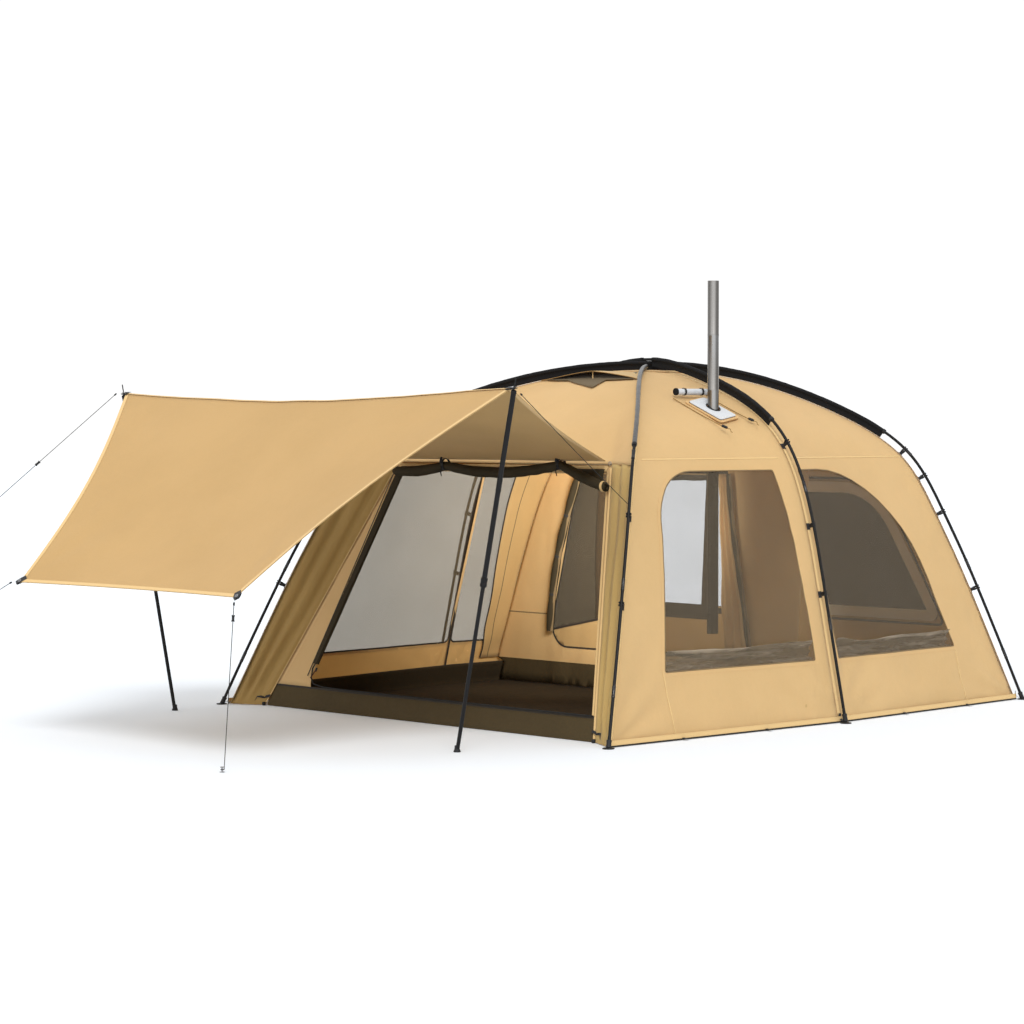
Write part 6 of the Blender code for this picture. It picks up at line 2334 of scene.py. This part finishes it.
ROLL_KNOTS = ((-0.885, 1.470), (-0.435, 1.508), (0.566, 1.522), (0.995, 1.392))
ROLL_SAGS = (0.016, 0.044, 0.006)


def roll_line(x):
    """Height of the rolled door's middle: it sags between its ties and hangs slack at the right."""
    xs, zs = [k[0] for k in ROLL_KNOTS], [k[1] for k in ROLL_KNOTS]
    height = float(np.interp(x, xs, zs))
    belly = 0.0
    for first, last, sag in zip(xs, xs[1:], ROLL_SAGS):
        if first <= x <= last:
            share = (x - first) / (last - first)
            height -= sag * 4 * share * (1 - share)
            belly = 4 * share * (1 - share)
    return height, belly


def make_door_roll():
    """The door rolled up under the eave, with its ties and the slack flap at its right end."""
    columns, steps = 120, 72
    low_x, high_x = ROLL_KNOTS[0][0], ROLL_KNOTS[-1][0]
    bm = bmesh.new()
    rows = []
    for i in range(steps + 1):
        share = i / steps
        angle = share * ROLL_TURNS * 2 * math.pi + 0.5
        spiral = 0.2 + 0.8 * share
        row = []
        for k in range(columns + 1):
            s = k / columns
            x = low_x + (high_x - low_x) * s
            height, belly = roll_line(x)
            centre = door_wall(x, height, DOOR_ROLL_OUT)
            full = 0.72 + 0.28 * math.sqrt(max(0.0, belly))
            wrinkle = 1 + 0.08 * float(rough(s * 34 + angle * 0.3, angle * 0.8, 23)) * share
            radius = DOOR_ROLL_R * spiral * full * wrinkle
            row.append(
                bm.verts.new(centre + np.array((0, radius * math.cos(angle), radius * math.sin(angle))))
            )
        rows.append(row)
    bridge(bm, rows)
    bm.normal_update()
    piece = cloth_from("door_roll_cloth", bm, OLIVE, 0.0012, 0.0, slot="brown_groundsheet")
    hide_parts("door_roll")
    flap = np.zeros((10, 50, 3))
    for k, x in enumerate(np.linspace(low_x + 0.01, high_x - 0.03, 50)):
        height = roll_line(x)[0]
        upper = min(x, 0.905)
        for i in range(10):
            share = i / 9
            top = door_wall(upper, EAVE_Z - 0.035, 0.020)
            bottom = door_wall(x, height - 0.01, 0.030)
            fold = 0.006 * float(rough(x * 9, share * 2, 29)) * math.sin(math.pi * share)
            flap[i, k] = top + (bottom - top) * share + np.array(
                (0, -fold - 0.012 * math.sin(math.pi * share), 0)
            )
    cloth_from("door_flap_cloth", grid_bmesh(flap, (0, -1, 0)), OLIVE, 0.0014, slot="brown_groundsheet")
    for side, x in ((-1, ROLL_KNOTS[1][0]), (1, ROLL_KNOTS[2][0])):
        height = roll_line(x)[0]
        word = SIDE_WORD[side]
        centre = door_wall(x, height + 0.004, DOOR_ROLL_OUT)
        ways = circle(np.zeros(3), np.array((0, 0.033, 0)), np.array((0, 0, 0.036)), 36)
        strap = ribbon("door_tie_loop_" + word, centre + ways, ways, 0.020, BLACK_WEB, 0.0, 0.0018, True)
        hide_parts("door_tie_" + word)
        lie = frame_matrix(centre + np.array((0, -0.040, 0.030)), (0.1, 0.2, 1))
        toggle("door_tie_toggle_" + word, 0.022, 0.006, 0.0078, 0.010, lie)
        tail = [centre + np.array((0.004 * math.sin(k), -0.040, -0.008 - 0.008 * k)) for k in range(9)]
        tube("door_tie_tail_" + word, tail, 0.0032, CORD, 2)
    end = door_wall(ROLL_KNOTS[-1][0] - 0.02, roll_line(0.97)[0], DOOR_ROLL_OUT)
    ways = circle(np.zeros(3), np.array((0, 0.031, 0)), np.array((0, 0, 0.031)), 36)
    ribbon("door_roll_end_hem", end + ways, ways, 0.018, TAN_TAPE, 0.0, 0.0016, True)


def make_header():
    """The seamed band between the awning and the door, and its corner rings."""
    xs = np.linspace(-EAVE_X + 0.012, EAVE_X - 0.012, 70)
    out = door_wall(0, 1.0, 1.0) - door_wall(0, 1.0)
    points = np.array([door_wall(x * 0.992, EAVE_Z - 0.028, 0.006) for x in xs])
    ribbon("eave_band", points, [out] * 70, 0.034, TAN_TAPE, 0.001, 0.0012)
    points = np.array([door_wall(x, EAVE_Z - 0.004, 0.008) for x in xs])
    ribbon("eave_seam", points, [out] * 70, 0.008, BROWN_TAPE, 0.001, 0.0012, slot="sand_canvas")
    for side in (-1, 1):
        word = SIDE_WORD[side]
        centre = np.array((side * (EAVE_X - 0.004), EAVE_Y - 0.014, EAVE_Z + 0.006))
        ring = circle(centre, np.array((0.010, 0, 0)), np.array((0, 0, 0.010)), 20, True)
        tube("eave_ring_" + word, ring, 0.0022, PEG_STEEL, 3)
        foot = wall_edge(side, 0.05)[0] + np.array((side * 0.030, -0.012, 0))
        places = ((-0.05, 0.010, 0.012), (0, 0, 0), (0.045, -0.02, 0.004), (0.06, -0.03, -0.024))
        line = np.array([foot + np.array((side * x, y, z)) for x, y, z in places])
        normals = [(side * 0.4, -1, 0.3)] * 4
        ribbon("wing_foot_strap_" + word, line, normals, 0.016, BLACK_WEB, 0.004, 0.002)
        lie = frame_matrix(foot + np.array((side * 0.012, -0.012, 0.002)), (side, -0.3, 0.2))
        toggle("wing_foot_toggle_" + word, 0.018, 0.005, 0.0068, 0.008, lie)
        lathe(
            "wing_foot_peg_" + word,
            [(0, 0), (0.010, 0.0), (0.012, 0.003), (0.012, 0.016), (0.008, 0.022), (0, 0.023)],
            frame_matrix(np.array((foot[0] - side * 0.012, foot[1] - 0.018, 0.0)), UP), PLASTIC, 20,
        )


POLE_NODES = ("pole_front_left_to_rear_right", "pole_front_right_to_rear_left", "pole_middle_hoop")
SHEETS = {
    "side_left_front_cloth": ("stretched", POLE_NODES),
    "side_left_rear_cloth": ("stretched", POLE_NODES),
    "side_right_front_cloth": ("stretched", POLE_NODES),
    "side_right_rear_cloth": ("stretched", POLE_NODES),
    "net_left_front": ("stretched", ("side_left_front",)),
    "net_left_rear": ("stretched", ("side_left_rear",)),
    "net_right_front": ("stretched", ("side_right_front",)),
    "net_right_rear": ("stretched", ("side_right_rear",)),
    "window_gather_right_front": ("gathered", ("side_right_front",)),
    "window_gather_right_rear": ("gathered", ("side_right_rear",)),
    "rear_wall_cloth": ("stretched", POLE_NODES[:2]),
    "net_rear_left": ("stretched", ("rear_wall",)),
    "net_rear_right": ("stretched", ("rear_wall",)),
    "front_wall_cloth": ("stretched", ("wing_left", "wing_right")),
    "wing_left_cloth": ("hung", POLE_NODES[:1]),
    "wing_right_cloth": ("hung", POLE_NODES[1:2]),
    "roof_front_cloth": ("stretched", POLE_NODES[:2]),
    "crown_cloth": ("stretched", POLE_NODES),
    "roof_vent_visor": ("stretched", ("roof_vent_strut",)),
    "roof_vent_net": ("stretched", ("roof_front",)),
    "stove_jack_flap_roll": ("folded", ("side_right_front",)),
    "rear_cover_roll_cloth": ("folded", ("rear_wall",)),
    "groundsheet_cloth": ("laid", ()),
    "partition_cloth": ("hung", ("side_left_rear", "side_right_rear")),
    "partition_door_net": ("hung", ("partition",)),
    "partition_door_foot": ("hung", ("partition",)),
    "partition_leaf_cloth": ("gathered", ("partition",)),
    "left_wall_flange": ("hung", ("side_left_rear",)),
    "door_roll_cloth": ("folded", ("door_tie_left", "door_tie_right")),
    "door_flap_cloth": ("hung", ("front_wall",)),
}


def declare_sheets():
    """Works out the flat cut of each sheet and does nothing more with it. A rolled or gathered one is as
    wide as its area over its length, and so is a wall that is little more than strips round its door."""
    for name, (held, rests_on) in SHEETS.items():
        width, length, area = CUTS[name]
        if not 0.32 * width * length < area < width * length:
            width = area / length


def main():
    make_camera()
    make_stage()
    make_light()
    make_cords()
    make_poles()
    for side in (-1, 1):
        for end in (-1, 0, 1):
            make_sleeve(side, end)
            make_foot(side, end)
            for k, t in enumerate(CLIPS[end]):
                make_clip(side, end, t, str(k + 1))
    for side in (-1, 1):
        for end in (-1, 1):
            make_side(side, end)
            if side > 0:
                make_gather(end)
    make_rear()
    make_front()
    make_crown()
    make_seams()
    make_base()
    make_awning()
    for side in (-1, 1):
        make_awning_pole(side)
    make_stove()
    make_vent()
    make_rear_covers()
    make_tub()
    make_partition()
    make_flange()
    make_door()
    make_header()
    declare_sheets()


main()
